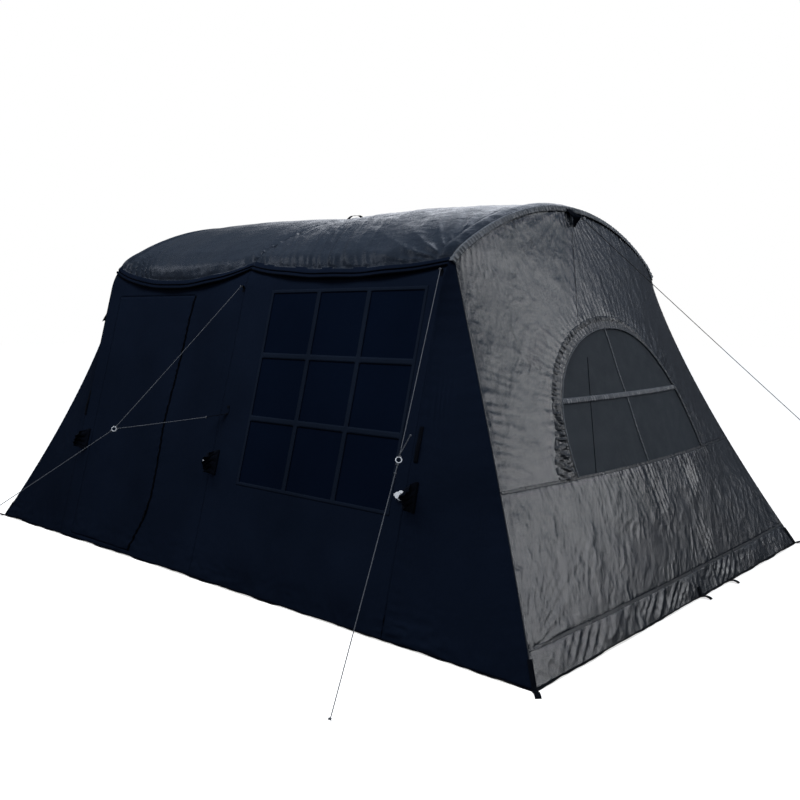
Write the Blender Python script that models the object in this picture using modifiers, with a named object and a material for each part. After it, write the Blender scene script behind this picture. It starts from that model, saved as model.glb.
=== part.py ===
"""Inflatable tent: three air beams under a sewn shell, with a door, windows, valves and guy ropes.

Metres, +Z up. X runs along the tent, -Y is the front wall with the door, and the origin is in the
middle of the floor. Cloth is drawn thicker than it is, so that each panel is a sound solid.
"""

import math

import bmesh
import bpy
from mathutils import Matrix, Vector

TENT = "inflatable_tent"

# The shell's outer size and shape.
BEAM_SPACING = 1.483  # from the seam over the middle beam to the seam over an end beam
END_FLARE = 0.828  # how far an end wall's foot stands out beyond its beam seam
HALF_WIDTH = 1.550  # from the middle of the floor to a long wall's foot
WALL_LEAN = 0.263  # inward run of a long wall for each metre of height
CROWN_HEIGHT = 2.085  # top of the cloth over the right beam
LEFT_CROWN_RISE = 0.050  # the left beam stands this much taller
ROOF_RADIUS = 1.883
SHOULDER_RADIUS = 0.355
EDGE_FLARE_POWER = 1.194  # how the corner edges curve out along the tent
EDGE_SPREAD_POWER = 1.555  # and across it
EAVE_AT = 0.47  # share of the shoulder's bend where the roof cloth ends, at a beam
EDGE_AT = 0.71  # share of the shoulder's bend where the corner edge starts
ROOF_STEPS = 5  # facets of half the roof's arc
BAY_STEPS = 16  # facets along a roof bay

# Cloth, tape and clearances.
CLOTH = 0.002
TAPE = 0.0015
GAP = 0.0004  # between faces that touch on the real tent
SEAM = 0.0006  # between two panels sewn edge to edge
CORNER_GAP = 0.003  # where two panels meet at a sharp corner

# Roof cloth, which lies over the tops of the walls.
ROOF_LIFT = CLOTH + 2 * GAP
WALL_LAP = 0.002  # how far the walls reach up under the roof cloth at a beam
ROOF_PUFF = 0.030  # how far a bay stands above the line between its beams
EAVE_HEM = 0.008  # how far the eave hangs below the start of its bend at a beam
LEFT_EAVE_DROOP = 0.121  # how far the eave hangs lower between the beams
RIGHT_EAVE_DROOP = 0.066
EAVE_STAND = 0.022  # how far the eave then stands proud of the wall
ROOF_PLEATS = 4  # soft pleats in each bay, deepest at the eave
PLEAT_DEPTH = 0.009
PIPING_RADIUS = 0.005
PIPING_RISE = 0.006  # the piping's middle above the cloth's edge
BINDING_RADIUS = 0.006
BINDING_END = 0.07  # how much higher up the shoulder's bend a binding ends

# Floor and long walls.
GROUND_THICKNESS = 0.003
GROUND_MARGIN = 0.014
FOOT_TILT = 0.5  # a wall's inner edge dips below its outer one by at most this share of the cloth
WALL_BEND = 1.618  # above this height the walls follow the shoulder's bend
WALL_BEND_STEPS = 3

# Air beams.
BEAM_RADIUS = 0.058
BEAM_INSET = 0.052  # an end beam lies this far inside its seam
SLEEVE_WALL = 0.0015
BLADDER_WALL = 0.0012
BLADDER_CLEARANCE = 0.0006
BEAM_SIDES = 3  # bevel resolution: ten sides

# End walls.
SKIRT_HEIGHT = 0.130
SILL_HEIGHT = 0.700
END_WINDOW_HALF_WIDTH = 0.730
END_WINDOW_RISE = 0.710
END_WINDOW_BAR_HEIGHT = 1.055
END_FRAME_WIDTH = 0.055
END_BAR_WIDTH = 0.030
FILM_LAP = 0.015  # how far a window film reaches behind its opening
WINDOW_STEPS = 25

# Folds in the lower walls.
END_FOLDS = 7  # soft folds across the lower part of an end wall
END_FOLD_DEPTH = 0.009
END_FOLD_LEAN = 0.45  # how far a fold runs across the tent for each metre of height
END_FOLD_STEPS = 2  # facets between two stations of the roof's outline
HEM_PINCH = 0.004  # how far the hem's seam draws in
FRONT_FOLDS = 3  # soft folds along the foot of the window bay
FRONT_FOLD_DEPTH = 0.014
FRONT_FOLD_TOP = 0.420
FRONT_FOLD_MIDDLE = 0.150

# Front window, a grid of panes in the right bay.
WINDOW_LEFT = 0.270
WINDOW_RIGHT = 1.385
WINDOW_LOW = 0.560
WINDOW_HIGH = 1.600
WINDOW_COLUMNS = 3
WINDOW_ROWS = 3
WINDOW_BAR = 0.030
WINDOW_BORDER = 0.018

# Door in the left bay. The zip's line is given as height and distance along the tent.
DOOR_HINGE_X = -1.340
DOOR_TOP = 1.600
DOOR_SILL = 0.030
DOOR_EDGE_GAP = 0.0020
ZIP_LINE = (
    (0.030, -0.660),
    (0.157, -0.602),
    (0.269, -0.549),
    (0.431, -0.532),
    (0.733, -0.553),
    (0.873, -0.557),
    (1.076, -0.530),
    (1.446, -0.505),
    (1.600, -0.480),
)
ZIP_WIDTH = 0.008
SLIDER_LOW = 0.280
SLIDER_HIGH = 1.560
SLIDER_SIZE = (0.012, 0.022, 0.005)
PULL_SIZE = (0.008, 0.045, 0.0015)

# Inflation valves, their caps and the cloth flaps that cover them.
VALVE_HEIGHT = 0.640
VALVE_SHIFT = 0.025  # from the beam's middle, along the tent
VALVE_SIDES = (-1, -1, 1)  # which way each valve is shifted, left beam first
VALVE_NECK = 0.013
VALVE_BORE = 0.009
VALVE_FLANGE = 0.024
VALVE_FLANGE_THICKNESS = 0.003
VALVE_STAND = 0.018
VALVE_DEPTH = 0.030
VALVE_SEGMENTS = 20
CAP_RADIUS = 0.016
CAP_THICKNESS = 0.008
CAP_LUG = 0.010
FLAP_ROOT = 0.080  # from the valve's middle to the flap's stitched edge
FLAP_LENGTH = 0.115
FLAP_HEIGHT = 0.145
FLAP_ANGLE = math.radians(40)
FLAP_BEND = math.radians(22)

# Webbing and loops.
WEBBING = 0.0018
TAB_WIDTH = 0.020
LOW_TAB_PLACES = (-1.475, 0.060, 1.505)
TAB_HEIGHT_ON_WALL = 0.915
TAB_SEWN = 0.045
TAB_FREE = 0.120
LOOP_WIDTH = 0.026
LOOP_REACH = 0.045
LOOP_LAP = 0.008  # how far a loop lies on the groundsheet
LOOP_BITE = 0.0003  # how deep its stitched end sinks in
END_LOOP_PLACES = (0.04, 0.42)  # across the tent, at both ends
RIDGE_LOOP_FROM = -0.270
RIDGE_LOOP_TO = -0.120
RIDGE_LOOP_RISE = 0.045
PATCH_HALF_WIDTH = 0.055
PATCH_TOP_DROP = 0.022  # from the ridge to the patch's upper edge
PATCH_TIP_DROP = 0.062
PATCH_DROP = 0.120
PATCH_TIP_OUT = 0.060

# Vent hood near the front edge of the left end wall: a stiffened flap that stands off the wall.
HOOD_MIDDLE = -0.955
HOOD_HALF_WIDTH = 0.080
HOOD_TOP = 1.600
HOOD_LENGTH = 0.240
HOOD_ANGLE = math.radians(23)
HOOD_ARCH = 0.022
HOOD_STEPS = 5

# Guy ropes: the routes are chosen by hand, end to end.
ROPE = 0.004
ROPE_POINTS = 14
RING_RADIUS = 0.013
RING_THICKNESS = 0.0025
RIGHT_TAB_END = (1.462, -1.108, 1.700)
RIGHT_RING = (1.662, -1.629, 0.860)
RIGHT_PEG = (1.894, -2.262, 0.004)
MIDDLE_TAB_END = (-0.008, -1.138, 1.650)
MIDDLE_LOW_TAB_END = (-0.016, -1.394, 0.896)
MIDDLE_RING = (-0.381, -1.768, 0.830)
MIDDLE_PEG = (-1.121, -2.772, 0.004)
END_ROPE_START = (1.5730, 0.0008, 2.0220)
END_PEG = (3.308, 1.470, 0.004)

COLOURS = {
    "front_cloth": (0.030, 0.034, 0.046, 0.80),
    "roof_cloth": (0.075, 0.082, 0.098, 0.42),
    "end_cloth": (0.105, 0.108, 0.114, 0.45),
    "ground": (0.018, 0.018, 0.020, 0.70),
    "film": (0.045, 0.055, 0.075, 0.30),
    "tape": (0.085, 0.090, 0.100, 0.60),
    "webbing": (0.025, 0.025, 0.028, 0.85),
    "sleeve": (0.050, 0.052, 0.058, 0.80),
    "bladder": (0.550, 0.560, 0.580, 0.40),
    "valve": (0.750, 0.760, 0.780, 0.40),
    "zip": (0.015, 0.016, 0.020, 0.50),
    "rope": (0.420, 0.430, 0.450, 0.75),
    "black_rope": (0.020, 0.020, 0.022, 0.80),
    "ring": (0.700, 0.710, 0.720, 0.35),
}

SLOPE = math.hypot(1.0, WALL_LEAN)
UP_WALL = Vector((0.0, WALL_LEAN, 1.0)) / SLOPE
OUT_OF_WALL = Vector((0.0, -1.0, WALL_LEAN)) / SLOPE
WALL_FOOT = GROUND_THICKNESS + GAP + CLOTH * FOOT_TILT


def clear_scene():
    for found in list(bpy.data.objects):
        bpy.data.objects.remove(found, do_unlink=True)


def collection(name):
    made = bpy.data.collections.new(name)
    bpy.context.scene.collection.children.link(made)
    return made


def material(name, finish):
    """Each piece has its own material, with the colour and roughness of its finish."""
    red, green, blue, rough = COLOURS[finish]
    made = bpy.data.materials.new(name)
    made.use_nodes = True
    shader = made.node_tree.nodes["Principled BSDF"]
    shader.inputs["Base Color"].default_value = (red, green, blue, 1.0)
    shader.inputs["Roughness"].default_value = rough
    made.diffuse_color = (red, green, blue, 1.0)
    return made


def place(name, data, finish, smooth=False):
    made = bpy.data.objects.new(name, data)
    parts.objects.link(made)
    data.materials.append(material(name, finish))
    if smooth and made.type == "MESH":
        data.shade_smooth()
        data.set_sharp_from_angle(angle=math.radians(35))
    return made


def as_cutter(made):
    """Moves an object to the guides, where it cuts but isn't a piece."""
    for owner in list(made.users_collection):
        owner.objects.unlink(made)
    cutters.objects.link(made)
    made.hide_render = True
    made.display_type = "WIRE"
    return made


def cut(made, cutter, operation="DIFFERENCE"):
    step = made.modifiers.new(operation.title(), "BOOLEAN")
    step.operation = operation
    step.solver = "EXACT"
    step.object = cutter


def thicken(made, thickness, offset=-1.0):
    shell = made.modifiers.new("Solidify", "SOLIDIFY")
    shell.thickness = thickness
    shell.offset = offset


def move_origin(made, point):
    """Puts the object's origin on its joint's axis without moving the piece."""
    point = Vector(point)
    made.data.transform(Matrix.Translation(-point))
    made.location = point


class Arch:
    """The outline of the shell over a beam: leaning wall, rounded shoulder and round roof."""

    def __init__(self, x, inset=0.0):
        share = min(max(0.5 - x / (2 * BEAM_SPACING), 0.0), 1.0)
        self.crown = CROWN_HEIGHT + LEFT_CROWN_RISE * share
        self.roof_z = self.crown - ROOF_RADIUS
        self.wall = HALF_WIDTH - inset * SLOPE
        self.bend = SHOULDER_RADIUS - inset
        self.roof = ROOF_RADIUS - inset
        reach = HALF_WIDTH - SHOULDER_RADIUS * SLOPE
        square = 1.0 + WALL_LEAN**2
        linear = WALL_LEAN * reach + self.roof_z
        rest = reach**2 + self.roof_z**2 - (ROOF_RADIUS - SHOULDER_RADIUS) ** 2
        self.bend_z = (linear + math.sqrt(linear**2 - square * rest)) / square
        self.bend_y = reach - WALL_LEAN * self.bend_z
        self.low_angle = math.atan(WALL_LEAN)
        self.high_angle = math.atan2(self.bend_z - self.roof_z, self.bend_y)

    def shoulder(self, share):
        angle = self.low_angle + share * (self.high_angle - self.low_angle)
        return self.bend_y + self.bend * math.cos(angle), self.bend_z + self.bend * math.sin(angle)

    def over(self, share):
        """A point of the roof's arc, from the shoulder at 0 to the crown at 1."""
        angle = self.high_angle + share * (math.pi / 2 - self.high_angle)
        return self.roof * math.cos(angle), self.roof_z + self.roof * math.sin(angle)

    def half_width(self, z):
        if z <= self.shoulder(0.0)[1]:
            return self.wall - WALL_LEAN * z
        if z <= self.shoulder(1.0)[1]:
            return self.bend_y + math.sqrt(max(self.bend**2 - (z - self.bend_z) ** 2, 0.0))
        return math.sqrt(max(self.roof**2 - (z - self.roof_z) ** 2, 0.0))

    def across(self, first):
        """Points from the front to the back, starting at the eave, the edge or the foot."""
        half = [self.shoulder(EDGE_AT), self.shoulder(1.0)]
        half += [self.over(step / ROOF_STEPS) for step in range(1, ROOF_STEPS + 1)]
        if first != "edge":
            half.insert(0, self.shoulder(EAVE_AT))
        if first == "foot":
            half.insert(0, self.shoulder(0.0))
        return [(-y, z) for y, z in half] + [(y, z) for y, z in reversed(half[:-1])]


def build_mesh(name, rows, keep=None, inside=(0.0, 0.0, 0.9)):
    """An open surface from rows of points, in triangles that face away from the inside point."""
    work = bmesh.new()
    grid = [[work.verts.new(point) for point in row] for row in rows]
    for i in range(len(grid) - 1):
        for j in range(len(grid[0]) - 1):
            if keep is None or keep(i, j):
                work.faces.new((grid[i][j], grid[i][j + 1], grid[i + 1][j + 1], grid[i + 1][j]))
    loose = [v for v in work.verts if not v.link_faces]
    bmesh.ops.delete(work, geom=loose, context="VERTS")
    bmesh.ops.triangulate(work, faces=work.faces[:], quad_method="FIXED")
    work.normal_update()
    facing = sum((f.calc_center_median() - Vector(inside)).dot(f.normal) * f.calc_area() for f in work.faces)
    if facing < 0:
        bmesh.ops.reverse_faces(work, faces=work.faces[:])
    data = bpy.data.meshes.new(name)
    work.to_mesh(data)
    work.free()
    return data


def sheet(name, rows, finish, keep=None, thickness=CLOTH, offset=-1.0, inside=(0.0, 0.0, 0.9)):
    made = place(name, build_mesh(name, rows, keep, inside), finish)
    thicken(made, thickness, offset)
    return made


def tube(name, points, radius, finish, resolution=2, caps=True):
    data = bpy.data.curves.new(name, "CURVE")
    data.dimensions = "3D"
    data.bevel_depth = radius
    data.bevel_resolution = resolution
    data.use_fill_caps = caps
    spline = data.splines.new("POLY")
    spline.points.add(len(points) - 1)
    for spot, point in zip(spline.points, points):
        spot.co = (*point, 1.0)
    return place(name, data, finish)


def as_mesh(curve):
    """The same tube as a mesh, with its caps welded on."""
    name, finish = curve.name, curve.data.materials[0]
    bpy.context.view_layer.update()
    data = bpy.data.meshes.new_from_object(curve.evaluated_get(bpy.context.evaluated_depsgraph_get()))
    work = bmesh.new()
    work.from_mesh(data)
    bmesh.ops.remove_doubles(work, verts=work.verts, dist=0.00005)
    work.to_mesh(data)
    work.free()
    data.shade_smooth()
    data.set_sharp_from_angle(angle=math.radians(40))
    where = curve.matrix_world.copy()
    bpy.data.objects.remove(curve)
    made = bpy.data.objects.new(name, data)
    data.materials.clear()
    data.materials.append(finish)
    parts.objects.link(made)
    made.matrix_world = where
    return made


def box(name, size, centre, frame, finish):
    work = bmesh.new()
    bmesh.ops.create_cube(work, size=1.0)
    bmesh.ops.scale(work, vec=size, verts=work.verts)
    bmesh.ops.translate(work, vec=centre, verts=work.verts)
    bmesh.ops.transform(work, matrix=frame, verts=work.verts)
    data = bpy.data.meshes.new(name)
    work.to_mesh(data)
    work.free()
    return place(name, data, finish)


def lathe(name, profile, frame, finish, closed):
    """Turns a profile of radius and height, listed down its outer side, about the frame's Z."""
    data = bpy.data.meshes.new(name)
    count = len(profile)
    edges = [(i, i + 1) for i in range(count - 1)]
    if closed:
        edges.append((count - 1, 0))
    data.from_pydata([(radius, 0.0, height) for radius, height in profile], edges, [])
    made = place(name, data, finish)
    made.matrix_world = frame
    turn = made.modifiers.new("Screw", "SCREW")
    turn.axis = "Z"
    turn.angle = math.tau
    turn.steps = VALVE_SEGMENTS
    turn.render_steps = VALVE_SEGMENTS
    turn.use_merge_vertices = True
    turn.merge_threshold = 0.00001
    turn.use_smooth_shade = False
    return made


def on_wall(x, z, out=0.0, side=-1):
    """A point on a long wall's outer face, moved out of it. The front wall is side -1."""
    y = side * (HALF_WIDTH - WALL_LEAN * z)
    return Vector((x, y, z)) + Vector((0.0, -side * OUT_OF_WALL.y, OUT_OF_WALL.z)) * out


def wall_frame(x, z, out):
    """A frame on the front wall: X along the tent, Y up the wall, Z out of it."""
    turn = Matrix((Vector((1.0, 0.0, 0.0)), UP_WALL, OUT_OF_WALL)).transposed().to_4x4()
    return Matrix.Translation(on_wall(x, z, out)) @ turn


def front_point(x, z):
    """A point on the front's outer face anywhere, corner panels included, and the way along it."""
    if abs(x) <= BEAM_SPACING:
        return Vector((x, -Arch(x).half_width(z), z)), Vector((1.0, 0.0, 0.0))
    end = math.copysign(1.0, x)
    inner, edge = (Vector(point) for point in corner_row(end, -1, z))
    return inner.lerp(edge, (x - inner.x) / (edge.x - inner.x)), (edge - inner).normalized() * end


def seat_frame(x, z, out):
    """The same frame on the front's outer face anywhere."""
    here, along = front_point(x, z)
    above = front_point(x, z + 0.01)[0]
    outward = along.cross(above - here).normalized()
    turn = Matrix((along, outward.cross(along), outward)).transposed().to_4x4()
    return Matrix.Translation(here + outward * out) @ turn


def corner_row(end, side, z):
    """Both ends of a corner panel at a height: at its beam seam and at its corner edge."""
    edge_x, edge_y = corner_edge(end, z)
    inner_y = Arch(end * BEAM_SPACING).half_width(z)
    return (end * (BEAM_SPACING + CORNER_GAP * 0.7), side * inner_y, z), (edge_x, side * edge_y, z)


def wall_rows(columns, side=-1):
    """The wall's upper rows, round the shoulder's bend and a little under the roof cloth."""
    rows = [[on_wall(x, WALL_BEND, 0.0, side) for x in columns]]
    for step in range(1, WALL_BEND_STEPS + 1):
        row = []
        for x in columns:
            arch = Arch(x)
            top = arch.shoulder(EAVE_AT)[1] + WALL_LAP
            z = WALL_BEND + (top - WALL_BEND) * step / WALL_BEND_STEPS
            row.append((x, side * arch.half_width(z), z))
        rows.append(row)
    return rows


def corner_edge(end, z):
    """Where the shell's corner edge is at a height: distance along the tent and half width."""
    arch = Arch(end * BEAM_SPACING)
    top_y, top_z = arch.shoulder(EDGE_AT)
    left = max(1.0 - z / top_z, 0.0)
    x = BEAM_SPACING + END_FLARE * left**EDGE_FLARE_POWER
    return end * x, top_y + (HALF_WIDTH - top_y) * left**EDGE_SPREAD_POWER


def end_x(end, y, z):
    """The end wall's outer face: fullest on the middle line, and on the corner edges at its sides."""
    arch = Arch(end * BEAM_SPACING)
    edge_x, half = corner_edge(end, z)
    if z > arch.shoulder(EDGE_AT)[1]:
        half = arch.half_width(z)
    middle = BEAM_SPACING + END_FLARE * (1.0 - z / arch.crown)
    full = max(1.0 - (y / max(half, 0.001)) ** 2, 0.0)
    step = CLOTH + GAP
    return end * (abs(edge_x) + (middle - abs(edge_x)) * full + step)


def end_stations(end):
    """The end wall's top edge, and how far along it each point is, from -1 to 1."""
    top = Arch(end * BEAM_SPACING).across("edge")
    run = [0.0]
    for (y0, z0), (y1, z1) in zip(top, top[1:]):
        run.append(run[-1] + math.hypot(y1 - y0, z1 - z0))
    return top, [2.0 * length / run[-1] - 1.0 for length in run]


def end_lower(end):
    """Rows of the end wall's lower part, with its folds, pulled in from the corner edges."""
    coarse = end_stations(end)[1]
    shares = []
    for low, high in zip(coarse, coarse[1:]):
        shares += [low + (high - low) * step / END_FOLD_STEPS for step in range(END_FOLD_STEPS)]
    shares.append(coarse[-1])
    top = SILL_HEIGHT - SEAM / 2
    heights = [WALL_FOOT, SKIRT_HEIGHT / 2, SKIRT_HEIGHT]
    heights += [SKIRT_HEIGHT + (top - SKIRT_HEIGHT) * share for share in (0.25, 0.5, 0.75, 1.0)]
    rows = []
    for z in heights:
        half = corner_edge(end, z)[1] - CORNER_GAP - CLOTH
        row = []
        for share in shares:
            y = share * half
            row.append((end_x(end, y, z) + end * end_fold(share, y, z, top), y, z))
        rows.append(row)
    return rows


def end_fold(share, y, z, top):
    """How far the lower end wall's folds stand out: nothing at the seams and the corner edges."""
    calm = 1.0 - share**4
    if z < SKIRT_HEIGHT:
        rise = math.sin(math.pi * (z - WALL_FOOT) / (SKIRT_HEIGHT - WALL_FOOT))
        return 0.6 * END_FOLD_DEPTH * calm * rise * math.cos(math.pi * END_FOLDS * share)
    above = (z - SKIRT_HEIGHT) / (top - SKIRT_HEIGHT)
    turn = math.tau * END_FOLDS / 2 * (share + END_FOLD_LEAN * above)
    fold = END_FOLD_DEPTH * calm * math.sin(math.pi * above) * math.cos(turn)
    return fold - HEM_PINCH * calm * max(1.0 - above * 8.0, 0.0)


def end_upper(end):
    """Rows of the end wall from its sill seam to the roof's edge."""
    top, shares = end_stations(end)
    low = SILL_HEIGHT + SEAM / 2
    steps = 5
    pull = CORNER_GAP + CLOTH
    side_top = top[-1]
    rows = []
    for i in range(steps + 1):
        rise = i / steps
        side_z = low + (side_top[1] - low) * rise
        side_y = corner_edge(end, side_z)[1] - pull
        straight_y = (corner_edge(end, low)[1] - pull) * (1 - rise) + (side_top[0] - pull) * rise
        row = []
        for (top_y, top_z), share in zip(top, shares):
            limit = (side_top[0] - pull) / side_top[0]
            y = share * (corner_edge(end, low)[1] - pull) * (1 - rise) + top_y * limit * rise
            y += (side_y - straight_y) * share
            z = low * (1 - rise) + (top_z - GAP) * rise
            row.append((end_x(end, y, z), y, z))
        rows.append(row)
    return rows


def make_groundsheet():
    size = (
        2 * (BEAM_SPACING + END_FLARE + GROUND_MARGIN),
        2 * (HALF_WIDTH + GROUND_MARGIN),
        GROUND_THICKNESS,
    )
    middle = (0.0, 0.0, GROUND_THICKNESS / 2)
    add_peg_loops(box("groundsheet", size, middle, Matrix.Identity(4), "ground"))


def beam_path(x, extra=0.0):
    """The middle line of a beam, foot to foot, just inside the shell."""
    inset = CLOTH + GAP + BEAM_RADIUS
    arch = Arch(x, inset)
    foot_z = WALL_FOOT + BEAM_RADIUS * WALL_LEAN / SLOPE + extra
    foot_y = arch.wall - WALL_LEAN * foot_z
    path = [(-foot_y, foot_z), *arch.across("foot"), (foot_y, foot_z)]
    return [(x, y, z) for y, z in path]


def valve_x(number):
    beam = (-(BEAM_SPACING - BEAM_INSET), 0.0, BEAM_SPACING - BEAM_INSET)[number]
    return beam + VALVE_SIDES[number] * VALVE_SHIFT


def valve_drill(number, name):
    """A rod along a valve's axis, just wider than its neck."""
    depth = VALVE_DEPTH + VALVE_STAND + 0.04
    work = bmesh.new()
    radius = VALVE_NECK + GAP
    bmesh.ops.create_cone(
        work, cap_ends=True, segments=VALVE_SEGMENTS, radius1=radius, radius2=radius, depth=depth
    )
    data = bpy.data.meshes.new(name)
    work.to_mesh(data)
    work.free()
    made = place(name, data, "valve")
    made.matrix_world = wall_frame(valve_x(number), VALVE_HEIGHT, 0.0)
    return as_cutter(made)


def make_beams(drills):
    for number, (side, x) in enumerate(
        (("left", BEAM_INSET - BEAM_SPACING), ("middle", 0.0), ("right", BEAM_SPACING - BEAM_INSET))
    ):
        path = beam_path(x)
        sleeve = as_mesh(tube(f"beam_sleeve_{side}", path, BEAM_RADIUS, "sleeve", BEAM_SIDES, False))
        thicken(sleeve, SLEEVE_WALL)
        cut(sleeve, drills[number])
        outer = BEAM_RADIUS - SLEEVE_WALL - BLADDER_CLEARANCE
        bladder = as_mesh(tube(f"air_bladder_{side}", path, outer, "bladder", BEAM_SIDES))
        within = beam_path(x, BLADDER_WALL)
        hollow = as_mesh(tube(f"air_space_{side}", within, outer - BLADDER_WALL, "bladder", BEAM_SIDES))
        cut(bladder, as_cutter(hollow))
        cut(bladder, drills[number])


def make_valves():
    for number, side in enumerate(("left", "middle", "right")):
        x = valve_x(number)
        seat = wall_frame(x, VALVE_HEIGHT, GAP)
        profile = [
            (VALVE_BORE, VALVE_STAND),
            (VALVE_NECK, VALVE_STAND),
            (VALVE_NECK, VALVE_FLANGE_THICKNESS),
            (VALVE_FLANGE, VALVE_FLANGE_THICKNESS),
            (VALVE_FLANGE, 0.0),
            (VALVE_NECK, 0.0),
            (VALVE_NECK, -VALVE_DEPTH),
            (VALVE_BORE, -VALVE_DEPTH),
        ]
        lathe(f"valve_body_{side}", profile, seat, "valve", True)
        low = VALVE_STAND + GAP
        lid = lathe(
            f"valve_cap_{side}",
            [(0.0, low + CAP_THICKNESS), (CAP_RADIUS, low + CAP_THICKNESS), (CAP_RADIUS, low), (0.0, low)],
            seat,
            "valve",
            False,
        )
        lug_size = (CAP_LUG, CAP_LUG, CAP_THICKNESS / 2)
        lug_place = (0.001 - CAP_RADIUS - CAP_LUG / 2, 0.0, low + CAP_THICKNESS / 4)
        lug = box(f"cap_lug_{side}", lug_size, lug_place, seat, "valve")
        cut(lid, as_cutter(lug), "UNION")
        make_flap(side, x)


def make_flap(side, x):
    """A flap of cloth stitched at one edge, bent open over its valve."""
    root = seat_frame(x + FLAP_ROOT, VALVE_HEIGHT, GAP + CLOTH / 2)
    steps = 4
    rows = []
    for height, shape in ((-0.5, 0.86), (-0.1, 1.0), (0.3, 0.97), (0.5, 0.80)):
        row = []
        along, out = 0.0, 0.0
        for i in range(steps + 1):
            row.append(root @ Vector((-along * shape, height * FLAP_HEIGHT, out * shape)))
            turn = FLAP_ANGLE + FLAP_BEND * (0.5 - i / steps)
            along += FLAP_LENGTH / steps * math.cos(turn)
            out += FLAP_LENGTH / steps * math.sin(turn)
        rows.append(row)
    flap = sheet(f"valve_flap_{side}", rows, "webbing", offset=0.0)
    move_origin(flap, root.translation)


def make_roof():
    for side, end, droop in (("left", -1, LEFT_EAVE_DROOP), ("right", 1, RIGHT_EAVE_DROOP)):
        rows = []
        for step in range(BAY_STEPS + 1):
            share = step / BAY_STEPS
            x = end * (SEAM / 2 + share * (BEAM_SPACING - SEAM / 2))
            full = math.sin(math.pi * share)
            arch = Arch(x, -ROOF_LIFT)
            points = arch.across("eave")
            pleat = PLEAT_DEPTH * full**0.5 * math.cos(math.tau * ROOF_PLEATS * share)
            row = []
            for y, z in points:
                out = Vector((0.0, y, z - arch.roof_z)).normalized()
                low_share = (arch.crown - z) / (arch.crown - points[0][1])
                row.append(Vector((x, y, z)) + out * (ROOF_PUFF * full**0.6 + pleat * low_share))
            low = points[0][1] - EAVE_HEM - droop * full**0.7
            edge = arch.half_width(low)
            proud = HALF_WIDTH - WALL_LEAN * low + EAVE_STAND
            half = edge + (proud - edge) * full**0.5 + pleat
            rows.append([Vector((x, -half, low)), *row, Vector((x, half, low))])
        sheet(f"roof_bay_{side}", rows, "roof_cloth")
        eaves.append(rows)


def eave_line(side):
    """Where the piping runs: just outside the cloth, a little above its edge, from left to right."""
    lines = []
    for rows in eaves:
        line = []
        for row in rows:
            low, above = (row[0], row[1]) if side == -1 else (row[-1], row[-2])
            up = Vector((0.0, above.y - low.y, above.z - low.z)).normalized()
            out = Vector((0.0, side * up.z, -side * up.y))
            line.append(low + up * PIPING_RISE + out * (PIPING_RADIUS + 2 * GAP))
        lines.append(line)
    return lines[0][::-1][:-1] + [lines[0][0].lerp(lines[1][0], 0.5)] + lines[1][1:]


def make_trim():
    """Piping along both eaves and bindings over the three beam seams."""
    tube("eave_piping_front", eave_line(-1), PIPING_RADIUS, "zip", 2)
    tube("eave_piping_back", eave_line(1), PIPING_RADIUS, "zip", 2)
    for side, x in (("left", -BEAM_SPACING), ("middle", 0.0), ("right", BEAM_SPACING)):
        arch = Arch(x, -(ROOF_LIFT + GAP + BINDING_RADIUS))
        low_y, low_z = arch.shoulder(EAVE_AT + BINDING_END)
        line = [(x, -low_y, low_z)]
        line += [(x, y, z) for y, z in arch.across("edge")]
        line.append((x, low_y, low_z))
        tube(f"roof_binding_{side}", line, BINDING_RADIUS, "tape", 2)


def make_back_wall():
    columns = (SEAM / 2 - BEAM_SPACING, 0.0, BEAM_SPACING - SEAM / 2)
    rows = [[on_wall(x, z, 0.0, 1) for x in columns] for z in (WALL_FOOT, SILL_HEIGHT)]
    sheet("back_wall", rows + wall_rows(columns, 1), "front_cloth")


def front_fold(x, z):
    """How far the folds at the foot of the window bay stand out."""
    if z >= FRONT_FOLD_TOP or not WINDOW_LEFT < x < WINDOW_RIGHT:
        return 0.0
    if z < FRONT_FOLD_MIDDLE:
        rise = (z - WALL_FOOT) / (FRONT_FOLD_MIDDLE - WALL_FOOT)
    else:
        rise = (FRONT_FOLD_TOP - z) / (FRONT_FOLD_TOP - FRONT_FOLD_MIDDLE)
    along = (x - WINDOW_LEFT) / (WINDOW_RIGHT - WINDOW_LEFT)
    depth = FRONT_FOLD_DEPTH * math.sin(math.pi * rise / 2) ** 2
    return depth * math.sin(math.pi * FRONT_FOLDS * along) ** 2


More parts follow.
